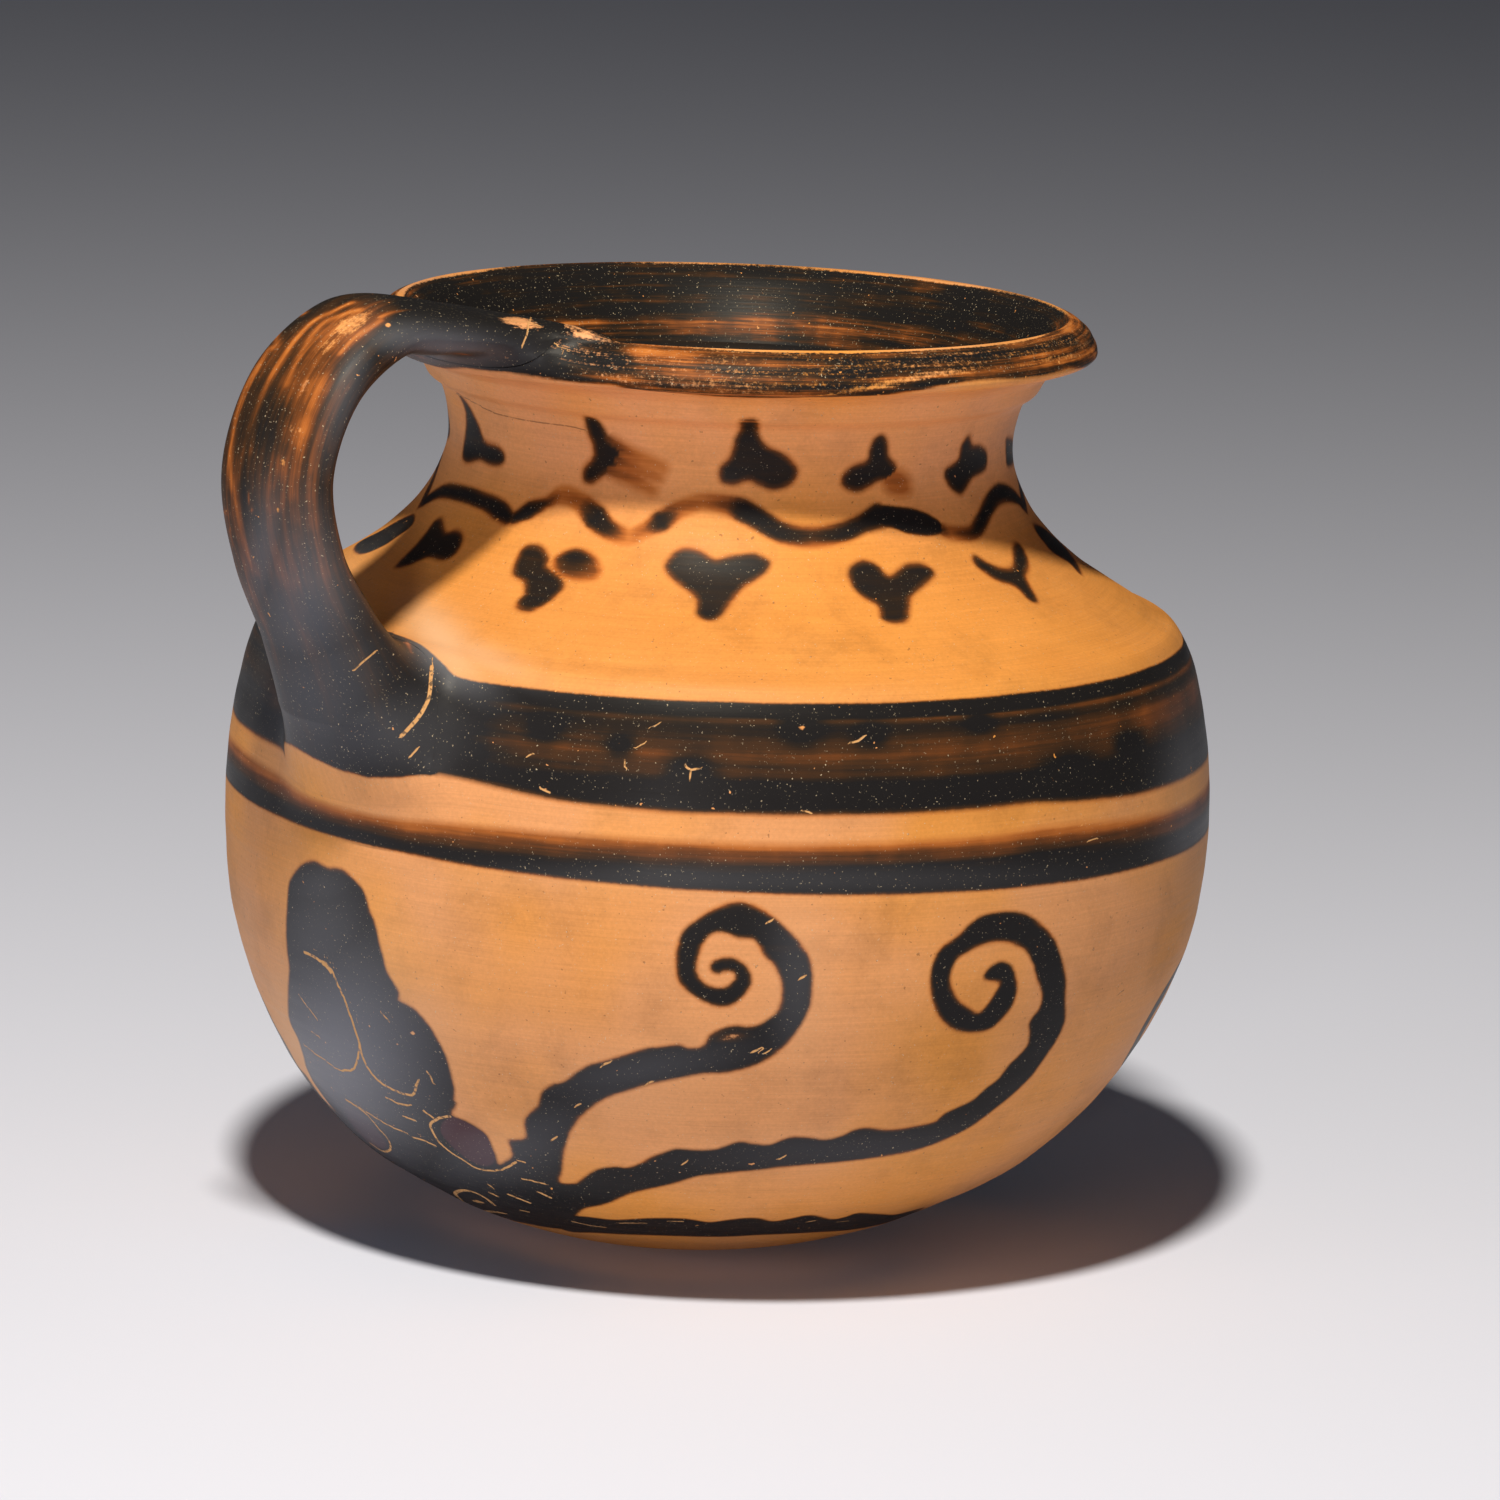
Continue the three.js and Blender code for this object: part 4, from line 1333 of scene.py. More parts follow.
far_head, far_arm = carried(head), carried(arms[0], FAR_SQUASH)
far_left = [flipped(loop) + [math.tau, 0] for loop in (far_head, far_arm)]
for loop in [carried(mantle), far_head, far_arm, *far_left]:
    fill(loop, soft=FAR_SOFT)
print("points inside slip with the figures:", int((wall.edge > 0).sum()))

# %% [markdown]
# ## Cuts, purple and wear on the figures
# After painting, the details are scratched through the slip with a point, so the clay shows as thin lines,
# and a little purple is laid on the eyes. Age has added chips and scratches. A line is carried into space
# and every clay point near it, on the wall or on the handle, keeps its distance across the line.

# %% The handle's coat
strap_coat = Coat(strap["points"], strap["normals"])
ROOT_EDGE = [(228, 690), (236, 704), (245, 719), (258, 728), (272, 734), (290, 744), (314, 758), (341, 770),
             (368, 777), (398, 777), (422, 774), (461, 777), (500, 780)]


def pixels_of(points):
    """Where points lie in the photograph."""
    gap = points - CAMERA_PLACE
    deep = gap @ FORWARD
    return PHOTO_SIDE / 2 + FOCAL_PIXELS * np.stack([gap @ RIGHT, -gap @ UP], -1) / deep[:, None]


ROOT_LOW, ROOT_HIGH, ROOT_MARGIN = 60.0, 72.0, 2.0


def root_distance(coat, index):
    """Distance from the traced lower edge of the root's slip. The hidden side mirrors the seen one."""
    points = coat.points[index]
    hidden = coat.normals[index] @ FORWARD > 0
    seen = pixels_of(np.where(hidden[:, None], points * (1, -1, 1), points))
    return np.clip((read_off(ROOT_EDGE, seen[:, 0]) - seen[:, 1]) / PIXELS_PER_MM, -FAR, FAR)


strap_coat.edge = root_distance(strap_coat, slice(None))
print("handle points inside slip:", int((strap_coat.edge > 0).sum()))
beside_root = np.flatnonzero((wall.points[:, 0] < -GIRTH_RADIUS / 2) & (wall.points[:, 2] > ROOT_LOW)
                             & (wall.points[:, 2] < ROOT_HIGH))
beside_root = beside_root[strap_distance(wall.points[beside_root]) < ROOT_MARGIN]
wall.edge[beside_root] = np.minimum(wall.edge[beside_root], root_distance(wall, beside_root))
strap_tree = BVHTree.FromPolygons([tuple(p) for p in strap["points"]],
                                  [tuple(p.vertices) for p in handle.data.polygons])


HANDLE_FIRST = 0.5


def onto_clay(pixels):
    """Places in space where rays first meet the handle, or else the skin."""
    places = onto_skin(pixels)
    for k, way in enumerate(rays(pixels)):
        hit = strap_tree.ray_cast(Vector(CAMERA_PLACE), Vector(way))
        if hit[0] is not None and hit[3] < np.linalg.norm(places[k] - CAMERA_PLACE) + HANDLE_FIRST:
            places[k] = hit[0]
    return places


def curve_through(points, fine):
    """A smooth open curve, with some steps between each two points."""
    points = np.asarray(points, float)
    return smooth(points, np.linspace(0, len(points) - 1, (len(points) - 1) * fine + 1))


def score(channel, pixels, width):
    """A scratch along traced points, its width in pixels."""
    line = curve_through(onto_clay(curve_through(pixels, 3)), 2)
    for coat in (wall, strap_coat):
        coat.score(channel, line, width / PIXELS_PER_MM)


FADE, TURNED_AWAY = 0.7, 0.25


def near_traced(coat, x, y, wide, high, lean=0.0):
    """How near points are to a traced place: one there, fading to nothing outside an oval round it."""
    cos, sin = math.cos(math.radians(lean)), math.sin(math.radians(lean))
    gap = coat.points - onto_clay([(x, y)])[0]
    across, along = gap @ RIGHT, gap @ UP
    u = (across * cos + along * sin) * 2 * PIXELS_PER_MM / wide
    v = (along * cos - across * sin) * 2 * PIXELS_PER_MM / high
    facing = np.clip(-(coat.normals @ FORWARD) / TURNED_AWAY, 0, 1)
    return np.exp(-(u * u + v * v) * FADE) * facing


# %% Incised lines, each with its channel and its width in pixels
CUTS = [
    (0, 3.2, [(303, 952), (312, 956), (321, 962), (325, 963), (332, 972), (336, 983), (343, 998),
              (349, 1014), (354, 1029), (359, 1043), (360, 1051), (365, 1065), (372, 1075), (381, 1084),
              (394, 1091), (405, 1095), (413, 1095), (415, 1088), (418, 1081)]),
    (1, 2.8, [(359, 1045), (358, 1054), (355, 1065), (352, 1070), (346, 1071), (341, 1071)]),
    (2, 1.8, [(341, 1071), (334, 1068), (323, 1060), (314, 1054), (303, 1045)]),
    (0, 3.0, [(450, 1117), (441, 1118), (434, 1121), (430, 1125), (432, 1132), (438, 1142), (449, 1152),
              (463, 1161), (474, 1168), (483, 1171), (498, 1171), (509, 1167), (516, 1162)]),
    (1, 3.0, [(345, 1100), (356, 1107), (367, 1116), (378, 1129), (387, 1140), (390, 1149), (383, 1152),
              (370, 1144)]),
    (1, 5.6, [(322, 963), (326, 966), (331, 973)]),
    (1, 5.2, [(494, 1206), (485, 1199), (474, 1193), (463, 1191), (455, 1194), (459, 1199), (465, 1203),
              (478, 1211), (491, 1212), (505, 1214)]),
    (2, 1.6, [(298, 995), (305, 1005), (316, 1019)]), (1, 1.6, [(311, 1032), (319, 1038)]),
    (1, 1.6, [(382, 1014), (390, 1023)]), (1, 2.0, [(426, 1071), (430, 1077), (433, 1084)]),
    (2, 2.4, [(356, 1106), (376, 1119), (390, 1127), (405, 1133)]),
    (2, 2.6, [(412, 1138), (423, 1141), (434, 1146)]), (2, 2.6, [(423, 1111), (434, 1119)]),
    (2, 2.6, [(397, 1104), (409, 1106)]), (1, 2.4, [(404, 1117), (415, 1121)]),
    (1, 2.2, [(385, 1098), (396, 1103)]), (2, 6.0, [(474, 1202), (482, 1203)]),
    (0, 2.2, [(488, 1185), (492, 1188)]), (2, 3.8, [(489, 1193), (497, 1197)]),
    (0, 4.0, [(508, 1195), (518, 1199), (531, 1204)]), (2, 3.6, [(520, 1211), (529, 1213)]),
    (2, 2.4, [(522, 1180), (534, 1182), (546, 1185)]), (1, 3.6, [(538, 1192), (550, 1198)]),
    (1, 2.2, [(518, 1161), (525, 1163)]),
]
print("incised lines:", len(CUTS))

# %% Scratches, cracks and chips along lines
SCRATCHES = [
    (0, 3.6, [(432, 664), (431, 677), (430, 690), (428, 700), (420, 715), (410, 727), (401, 736)]),
    (1, 1.6, [(376, 651), (364, 661), (354, 670)]), (1, 1.6, [(418, 748), (410, 757)]),
    (0, 1.4, [(456, 394), (472, 402), (491, 412), (517, 419), (542, 423), (567, 426), (586, 431)]),
    (1, 2.2, [(850, 743), (858, 741), (865, 735)]), (2, 2.0, [(685, 765), (691, 770), (699, 768)]),
    (1, 1.7, [(691, 770), (690, 778)]), (2, 1.4, [(625, 760), (625, 767)]),
    (1, 1.3, [(636, 747), (645, 743)]), (2, 1.3, [(652, 727), (659, 723)]),
    (1, 1.4, [(526, 757), (534, 753)]), (2, 1.8, [(540, 788), (550, 793)]),
    (1, 1.4, [(534, 313), (529, 322), (527, 334), (522, 346)]),
    (0, 1.3, [(556, 344), (562, 350), (570, 353)]), (1, 1.2, [(562, 350), (563, 357)]),
    (2, 1.4, [(500, 318), (512, 321), (526, 322), (540, 326)]), (1, 1.5, [(804, 811), (812, 813)]),
    (0, 1.4, [(1088, 842), (1098, 838)]), (2, 1.6, [(1118, 996), (1125, 990)]),
    (1, 2.2, [(602, 1066), (609, 1062)]), (1, 2.0, [(645, 1085), (654, 1081)]),
    (0, 2.0, [(575, 1107), (581, 1104)]), (0, 2.2, [(752, 1053), (760, 1049)]),
    (0, 1.8, [(764, 1054), (770, 1050)]), (1, 2.2, [(800, 979), (806, 975)]),
    (1, 2.0, [(766, 924), (772, 920)]), (2, 2.0, [(551, 1141), (557, 1137)]),
    (0, 2.0, [(778, 1160), (786, 1156)]), (0, 1.8, [(682, 1165), (688, 1161)]),
    (0, 2.4, [(572, 1222), (590, 1226), (606, 1228)]), (0, 2.0, [(618, 1224), (644, 1224)]),
    (0, 2.0, [(668, 1222), (682, 1222)]), (0, 2.0, [(806, 1223), (816, 1221)]),
    (0, 1.8, [(838, 1223), (848, 1222)]),
]
for channel, width, pixels in CUTS + SCRATCHES:
    score(channel, pixels, width)
print("points beside a line:", [int((wall.cuts[k][:, 1] > 0).sum()) for k in range(CUT_CHANNELS)])

# %% Purple eyes and worn spots
RIGHT_EYE = [(452, 1117), (463, 1121), (476, 1128), (486, 1136), (491, 1147), (495, 1158), (492, 1165),
             (483, 1167), (469, 1161), (456, 1151), (445, 1140), (440, 1131), (442, 1123), (447, 1119)]
LEFT_EYE = [(343, 1103), (354, 1109), (365, 1118), (376, 1131), (384, 1142), (386, 1148), (379, 1149),
            (366, 1141), (350, 1124)]
fill(charted(RIGHT_EYE), target="purple")
fill(charted(LEFT_EYE), target="purple")
fill(charted(LEFT_EYE), soft=0.4)

WORN_SPOTS = [(412, 1033, 7, 5), (397, 1044, 4, 3), (802, 728, 7, 4), (478, 1202, 9, 6), (545, 790, 5, 3),
              (388, 325, 5, 8), (283, 460, 4, 3), (300, 430, 3, 4), (278, 510, 3, 4)]
for x, y, wide, high in WORN_SPOTS:
    middle = onto_clay([(x, y)])[0]
    for coat in (wall, strap_coat):
        far = np.linalg.norm((coat.points - middle) / [1, 1, high / wide], axis=1)
        coat.bare = np.maximum(coat.bare, wide / 2 / PIXELS_PER_MM - far)
print("worn spots:", len(WORN_SPOTS))

# %% [markdown]
# ## Lip, lining and handle
# The lip, the inside and the handle were dipped or brushed all over. Slip ran thin and rubbed off along the
# crest and in long streaks down the handle, where hands held it for years.

# %% The lip and the lining
LIP_EDGE_HEIGHT, LIP_EDGE_LOW, LIP_EDGE_HIGH = 108.0, 107.4, 111.8
EDGE_BLEND, BELOW_EDGE = 0.3, 3
LIP_EDGE = [(427, 360), (472, 362), (511, 367), (544, 375), (580, 382), (616, 387), (666, 393), (717, 397),
            (760, 398), (794, 398), (850, 397), (898, 393), (940, 386), (980, 382), (1015, 379), (1045, 374),
            (1070, 368)]
traced_edge = charted(LIP_EDGE)
traced_edge = traced_edge[traced_edge[:, 0].argsort()]
lowest, plain_edge, highest = (chart_point(0, z)[1] for z in (LIP_EDGE_LOW, LIP_EDGE_HEIGHT, LIP_EDGE_HIGH))
traced_edge[:, 1] = np.clip(traced_edge[:, 1], lowest, highest)
ends = [(traced_edge[0, 0] - EDGE_BLEND, plain_edge), (traced_edge[-1, 0] + EDGE_BLEND, plain_edge)]
lip_edge_arc = read_off(np.vstack([ends[0], traced_edge, ends[1]]), wall_turn)
upper_skin = wall_skin[wall_arc[wall_skin] > plain_edge - BELOW_EDGE]
lip_waver = 0.25 * np.sin(5 * wall_turn[upper_skin]) + 0.15 * np.sin(13 * wall_turn[upper_skin] + 1)
LIP_TONES = [(0, 1.0), (0.5, 0.9), (1.0, 0.56), (2.2, 0.5), (3.2, 0.78), (4.5, 0.64), (6.5, 0.5)]
LIP_SOFT = 0.7
POOL_TURN, POOL_SPREAD, POOL_TONE = math.radians(193), 0.16, 0.35
above_edge = (wall_arc - lip_edge_arc)[upper_skin]
lip_tone = read_off(LIP_TONES, above_edge)
lip_tone += POOL_TONE * np.exp(-((wall_turn[upper_skin] - POOL_TURN) / POOL_SPREAD) ** 2)
wall.lay(upper_skin, above_edge + lip_waver, lip_tone, LIP_SOFT)
LINING_TONES = [(0, 1.2), (97, 1.2), (103, 1.0), (105, 0.62), (106.5, 0.55), (107.5, 0.9), (109, 1.05),
                (113, 0.9)]
lining_points = np.flatnonzero(np.isin(wall_side, ("lining", "mouth", "floor", "top_axis")))
all_slip = np.full(len(lining_points), FAR)
wall.lay(lining_points, all_slip, read_off(LINING_TONES, wall.points[lining_points, 2]))
print("lip edge at", LIP_EDGE_HEIGHT, "mm")

# %% Wear along the crest, the lower ridge and the face of the lip
NOWHERE = 99
CREST_WIDTH, CREST_LEAST = 0.7, 0.4
RIDGE_PLACE, RIDGE_WIDTH = 1.6, 0.9
FACE_START, FACE_RUN, FACE_WEAR = 0.8, 1.5, 0.44
on_skin = wall_side == "skin"
from_edge = wall_arc - lip_edge_arc
from_crest = np.where(on_skin, skin.arc[-1] - wall_arc, np.where(wall_side == "mouth", wall_arc, NOWHERE))
crest_wear = 0.72 + 0.25 * np.sin(3 * wall_turn + 1) + 0.15 * np.sin(8 * wall_turn)
ridge_wear = 0.46 + 0.1 * np.sin(wall_turn * 2 - 0.9) + 0.06 * np.sin(9 * wall_turn)
for wear in (np.exp(-(from_crest / CREST_WIDTH) ** 2) * np.clip(crest_wear, CREST_LEAST, 1),
             np.exp(-((from_edge - RIDGE_PLACE) / RIDGE_WIDTH) ** 2) * on_skin * ridge_wear,
             FACE_WEAR * np.clip((from_edge - FACE_START) / FACE_RUN, 0, 1) * on_skin):
    wall.worn = np.maximum(wall.worn, wear)
print("worn points on the wall:", int((wall.worn > 0.1).sum()))

# %% Streaks and worn places on the handle
HANDLE_TONES = [(0, 0.95), (14, 0.95), (22, 0.8), (34, 0.68), (46, 0.68), (60, 0.78), (72, 1.0), (80, 1.25),
                (90, BLACK), (140, BLACK)]
INNER_RUN, INNER_THIN = [(8, 0), (20, 1), (60, 1), (85, 0)], 0.08
strap_coat.tone = read_off(HANDLE_TONES, strap["far"])
inner_side = np.clip(-np.sin(strap["turn"]), 0, 1) * read_off(INNER_RUN, strap["far"])
strap_coat.tone -= INNER_THIN * inner_side
RUB_MARGIN = 3


def rub_line(coat, pixels, width, strength, fade):
    """Thins the slip along traced points, most in the middle of the line, fading to its end."""
    line = curve_through(onto_clay(curve_through(pixels, 2)), 2)
    index = coat.inside_box(line, RUB_MARGIN)
    far, near, _, share = line_gap(coat.points[index], line)
    half = width / 2 / PIXELS_PER_MM
    along = 1 - (1 - fade) * (near + share) / len(line)
    coat.rub(index, strength * along * np.exp(-(far / half) ** 2 * FADE), 0.85, 0.5)


HANDLE_STREAKS = [
    (11, 1.0, 0.45, [(304, 314), (286, 326), (269, 348), (258, 366), (245, 391), (236, 416), (232, 441),
                     (230, 467), (234, 494), (240, 521), (246, 546), (256, 572)]),
    (9, 1.0, 0.4, [(351, 303), (331, 312), (311, 323), (294, 341), (283, 360), (270, 380), (260, 405),
                   (253, 426), (251, 450)]),
    (8, 0.95, 0.5, [(358, 310), (331, 319), (315, 332), (304, 348), (295, 366), (288, 384)]),
    (3, 0.75, 0.5, [(222, 420), (219, 441), (218, 476), (225, 512), (233, 545)]),
    (6, 0.9, 0.8, [(381, 321), (372, 327), (361, 334), (350, 343), (341, 353)]),
    (5, 0.85, 0.7, [(381, 317), (394, 312), (410, 310), (426, 310), (440, 311)]),
    (3, 0.8, 0.8, [(445, 353), (455, 353), (468, 355), (480, 358)]),
    (5, 0.5, 0.7, [(354, 380), (343, 396), (335, 416), (331, 432), (329, 450)]),
    (6, 0.95, 0.9, [(352, 554), (362, 571), (372, 586), (385, 603), (395, 619), (404, 635), (411, 652)]),
    (5, 0.7, 0.7, [(500, 322), (514, 325), (530, 331), (545, 337)]),
    (4, 0.6, 0.7, [(560, 342), (590, 350), (620, 356)]), (2, 0.8, 1.0, [(248, 492), (249, 502), (252, 512)]),
    (2.5, 0.9, 1.0, [(219, 458), (220, 463)]),
]
WORN_PATCHES = [
    (351, 324, 64, 28, 0.85, 25), (328, 345, 44, 20, 0.7, 40), (304, 385, 40, 50, 0.6, 20),
    (294, 432, 24, 34, 0.6, 0), (282, 464, 14, 24, 0.6, 0), (318, 470, 36, 90, 0.3, 0),
    (277, 508, 10, 18, 0.5, 0), (519, 322, 54, 15, 1.0, -12), (584, 337, 40, 10, 0.9, -10),
    (640, 357, 60, 14, 0.6, -8), (300, 540, 40, 60, 0.25, 0), (670, 362, 60, 22, 0.35, -6),
    (731, 1037, 30, 9, 0.8, 8), (779, 1000, 12, 34, 0.55, 10),
]
for coat in (strap_coat, wall):
    for width, strength, fade, pixels in HANDLE_STREAKS:
        rub_line(coat, pixels, width, strength, fade)
    for *place, strength, lean in WORN_PATCHES:
        coat.rub(slice(None), strength * near_traced(coat, *place, lean), 0.7, 0.75)
print("handle streaks:", len(HANDLE_STREAKS), "and patches:", len(WORN_PATCHES))

# %% Painted sheen, a pale smear beside the root, and dark blots
# Ovals of painted sheen, as place, size, strength and lean: they turn the slip grey and the clay pale where a
# glossy surface would reflect the floor and the side light. The two on the shoulder beside the lower root are
# a pale smear on the clay.
SHEEN_AND_SMEAR_SPOTS = [
    (330, 1064, 160, 190, 1.0, -20), (320, 960, 100, 160, 0.4, 0), (318, 890, 80, 60, 0.3, 0),
    (500, 1150, 160, 60, 0.25, 20), (300, 600, 90, 130, 0.5, 0), (310, 690, 110, 150, 0.35, 0),
    (350, 730, 160, 70, 0.25, 0), (440, 345, 100, 26, 0.6, -5), (345, 400, 26, 110, 0.3, -15),
    (262, 560, 40, 110, 0.45, -10), (620, 1090, 120, 60, 0.15, 0), (840, 1150, 240, 40, 0.15, 0),
    (800, 985, 50, 150, 0.2, 0), (640, 1070, 160, 40, 0.2, 10), (750, 880, 520, 26, 0.14, 0),
    (440, 640, 90, 40, 1.0, -45), (470, 652, 100, 24, 0.7, -20), (1190, 800, 50, 160, 0.35, 0),
    (244, 1000, 60, 200, 0.35, 0),
]
BLOTS = [(545, 728, 26), (690, 772, 34), (800, 728, 30), (870, 735, 24), (1070, 770, 34), (1130, 742, 22),
         (620, 745, 20), (980, 722, 20), (576, 558, 34), (496, 345, 60), (545, 350, 44), (606, 360, 34),
         (470, 318, 80), (440, 308, 60), (442, 735, 70), (446, 702, 50), (238, 692, 60)]
BLOT_TONE, BLOT_HEIGHT = 0.7, 0.8
for coat in (wall, strap_coat):
    for *place, amount, lean in SHEEN_AND_SMEAR_SPOTS:
        coat.sheen_and_smear = np.maximum(coat.sheen_and_smear, amount * near_traced(coat, *place, lean))
    for x, y, wide in BLOTS:
        coat.tone += BLOT_TONE * near_traced(coat, x, y, wide, BLOT_HEIGHT * wide)
print("sheen_and_smear_spots:", len(SHEEN_AND_SMEAR_SPOTS), "and blots:", len(BLOTS))

# %% Write the coats into the meshes
WAY_RADIUS, STRAP_WAY_RADIUS = 50.0, 5.0
LINING_OFFSET = 300.0
for name, piece in thrown.items():
    part = slice(starts[name], starts[name] + counts[pieces.index(name)])
    turn, arc, side = wall_turn[part], wall_arc[part], wall_side[part]
    along = np.where(side == "skin", arc, arc + LINING_OFFSET)
    wall.store(piece.data, part, np.stack([WAY_RADIUS * np.cos(turn), WAY_RADIUS * np.sin(turn), along], -1))
strap_way = STRAP_WAY_RADIUS * np.stack([np.cos(strap["turn"]), np.sin(strap["turn"])], -1)
strap_coat.store(handle.data, slice(None), np.column_stack([strap["far"], strap_way]))
print("attributes on each piece:", len(handle.data.attributes))

# %% [markdown]
# ## Shared effects
# Clay, slip, wear and scratches appear in more than one material, so each is a node group with named inputs,
# built once. A group gives colours, masks and values only; the shader stays in the material.

# %% Small helpers for shader trees


def attribute(tree, name, output="Fac"):
    return add_node(tree, "ShaderNodeAttribute", attribute_name=name).outputs[output]


def scaled(tree, vector, by):
    return vector_sum(tree, "MULTIPLY", vector, by)


def noise(tree, vector, scale, detail=2.0, roughness=0.5):
    inputs = {"Vector": vector, "Scale": scale, "Detail": detail, "Roughness": roughness}
    return add_node(tree, "ShaderNodeTexNoise", inputs).outputs["Fac"]


def between(tree, value, low, high, to_low=0.0, to_high=1.0):
    """A value moved from one range to another and held inside it."""
    inputs = {"Value": value, "From Min": low, "From Max": high, "To Min": to_low, "To Max": to_high}
    return add_node(tree, "ShaderNodeMapRange", inputs, clamp=True).outputs[0]


def blend_colours(tree, share, first, second):
    """The first colour, covered by the second as far as the share says."""
    first, second = ((*colour, 1) if isinstance(colour, tuple) else colour for colour in (first, second))
    return add_node(tree, "ShaderNodeMix", {0: share, 6: first, 7: second}, data_type="RGBA").outputs[2]


def tinted(tree, value, stops):
    """A colour ramp from (place, colour) stops."""
    node = add_node(tree, "ShaderNodeValToRGB", {0: value})
    ramp = node.color_ramp
    while len(ramp.elements) < len(stops):
        ramp.elements.new(0.5)
    for element, (place, colour) in zip(ramp.elements, stops):
        element.position, element.color = place, (*colour, 1)
    return node.outputs["Color"]


# %% Fired clay
CLAY = (0.59, 0.235, 0.048)
CLAY_LIGHT = (0.66, 0.275, 0.062)
CLAY_PINK = (0.62, 0.285, 0.126)
CLAY_SPECK = (0.14, 0.06, 0.025)
FINE_STRETCH = (3, 3, 4)
SHADER_OUTPUTS = [("Colour", "Color"), ("Roughness", "Float"), ("Height", "Float")]


def fired_clay_group():
    """Orange clay with streaks along the way, pink and smudged zones, grain and dark specks. The pink is
    stronger on the neck and below the shoulder as painted shade, and the neck is lighter as painted fill
    light.
    """
    tree, given, result = new_tree("fired clay", "ShaderNodeTree", [
        ("Place", "Vector"), ("Way", "Vector"), ("Stretch", "Vector"), ("Speck Amount", "Float", 0.5),
    ], SHADER_OUTPUTS)
    place, stretched = given["Place"], scaled(tree, given["Way"], given["Stretch"])
    streaks = noise(tree, stretched, 1.0, 3, 0.6)
    fine = noise(tree, scaled(tree, stretched, FINE_STRETCH), 1.0, 2, 0.6)
    grain = noise(tree, place, 2.5, 3, 0.65)
    smudge = between(tree, noise(tree, place, 0.09, 5, 0.7), 0.5, 0.72, 1, 0.8)
    level = split(tree, place)["Z"]
    # Pink in random zones, made stronger on the neck and below the shoulder and weaker on the lit shoulder:
    # partly the clay's own tint, partly painted shade.
    pink = between(tree, noise(tree, place, 0.035, 2), 0.38, 0.6)
    pink = times(tree, pink, plus(tree, between(tree, level, 66, 78, 1, 0.15), between(tree, level, 88, 98)))
    colour = tinted(tree, noise(tree, place, 0.055, 3, 0.6), [(0.3, CLAY), (0.7, CLAY_LIGHT)])
    colour = blend_colours(tree, times(tree, pink, 0.8), colour, CLAY_PINK)
    shade = plus(tree, between(tree, streaks, 0.25, 0.75, -0.05, 0.03),
                 between(tree, fine, 0.25, 0.75, 0.92, 1.04))
    shade = times(tree, times(tree, shade, smudge), between(tree, grain, 0.25, 0.75, 0.92, 1.07))
    # Painted fill light: the neck, in the lip's shade, is made up to 15 percent lighter.
    shade = times(tree, shade, between(tree, level, 88, 98, 1, 1.15))
    colour = vector_sum(tree, "SCALE", colour, Scale=shade)
    speck = times(tree, between(tree, noise(tree, place, 1.9, 1), 0.73, 0.78), given["Speck Amount"])
    deliver(tree, result, {
        "Colour": blend_colours(tree, speck, colour, CLAY_SPECK),
        "Roughness": between(tree, streaks, 0.2, 0.8, 0.42, 0.56),
        "Height": plus(tree, times(tree, streaks, 0.6), times(tree, grain, 0.35))})
    return tree


fired_clay = fired_clay_group()
print("fired clay:", len(fired_clay.nodes), "nodes")

# %% Gloss slip
SLIP_STOPS = [(0.0, (0.50, 0.17, 0.038)), (0.2, (0.33, 0.098, 0.020)), (0.4, (0.140, 0.044, 0.012)),
              (0.6, (0.052, 0.023, 0.010)), (0.8, (0.021, 0.014, 0.010)), (1.0, (0.0120, 0.0110, 0.0115))]


def gloss_slip_group():
    """Slip from thin and brown to deep and black, uneven along its brush strokes."""
    tree, given, result = new_tree("gloss slip", "ShaderNodeTree", [
        ("Depth", "Float", 1.0), ("Place", "Vector"), ("Way", "Vector"), ("Stretch", "Vector"),
        ("Streaks", "Float", 0.3),
    ], SHADER_OUTPUTS)
    stretched = scaled(tree, given["Way"], given["Stretch"])
    brush = noise(tree, stretched, 1.0, 5, 0.68)
    uneven = minus(tree, plus(tree, brush, noise(tree, stretched, 0.35, 2)), 1.0)
    patch = minus(tree, noise(tree, given["Place"], 0.12, 3, 0.6), 0.5)
    uneven = plus(tree, uneven, times(tree, patch, 0.9))
    depth = plus(tree, given["Depth"], times(tree, uneven, given["Streaks"]))
    deliver(tree, result, {
        "Colour": tinted(tree, depth, SLIP_STOPS),
        "Roughness": plus(tree, between(tree, depth, 0.2, 1.0, 0.5, 0.38), times(tree, uneven, 0.15)),
        "Height": brush})
    return tree


gloss_slip = gloss_slip_group()
print("gloss slip:", len(gloss_slip.nodes), "nodes")

# %% Painted edge, wear and cut lines


def painted_edge_group():
    """How much slip covers the clay, and how deep it lies, from the distance to its edge."""
    tree, given, result = new_tree("painted edge", "ShaderNodeTree", [
        ("Edge", "Float"), ("Softness", "Float", 0.5), ("Tone", "Float", 1.0), ("Place", "Vector"),
        ("Raggedness", "Float", 0.12),
    ], [("Cover", "Float"), ("Depth", "Float")])
    wobble = minus(tree, noise(tree, given["Place"], 1.4, 3, 0.6), 0.5)
    edge = plus(tree, given["Edge"], times(tree, wobble, given["Raggedness"]))
    share = reckon(tree, "DIVIDE", edge, given["Softness"])
    deliver(tree, result, {
        "Cover": between(tree, share, -0.7, 0.05),
        "Depth": times(tree, between(tree, share, -0.5, 0.75, 0.08, 1), given["Tone"])})
    return tree


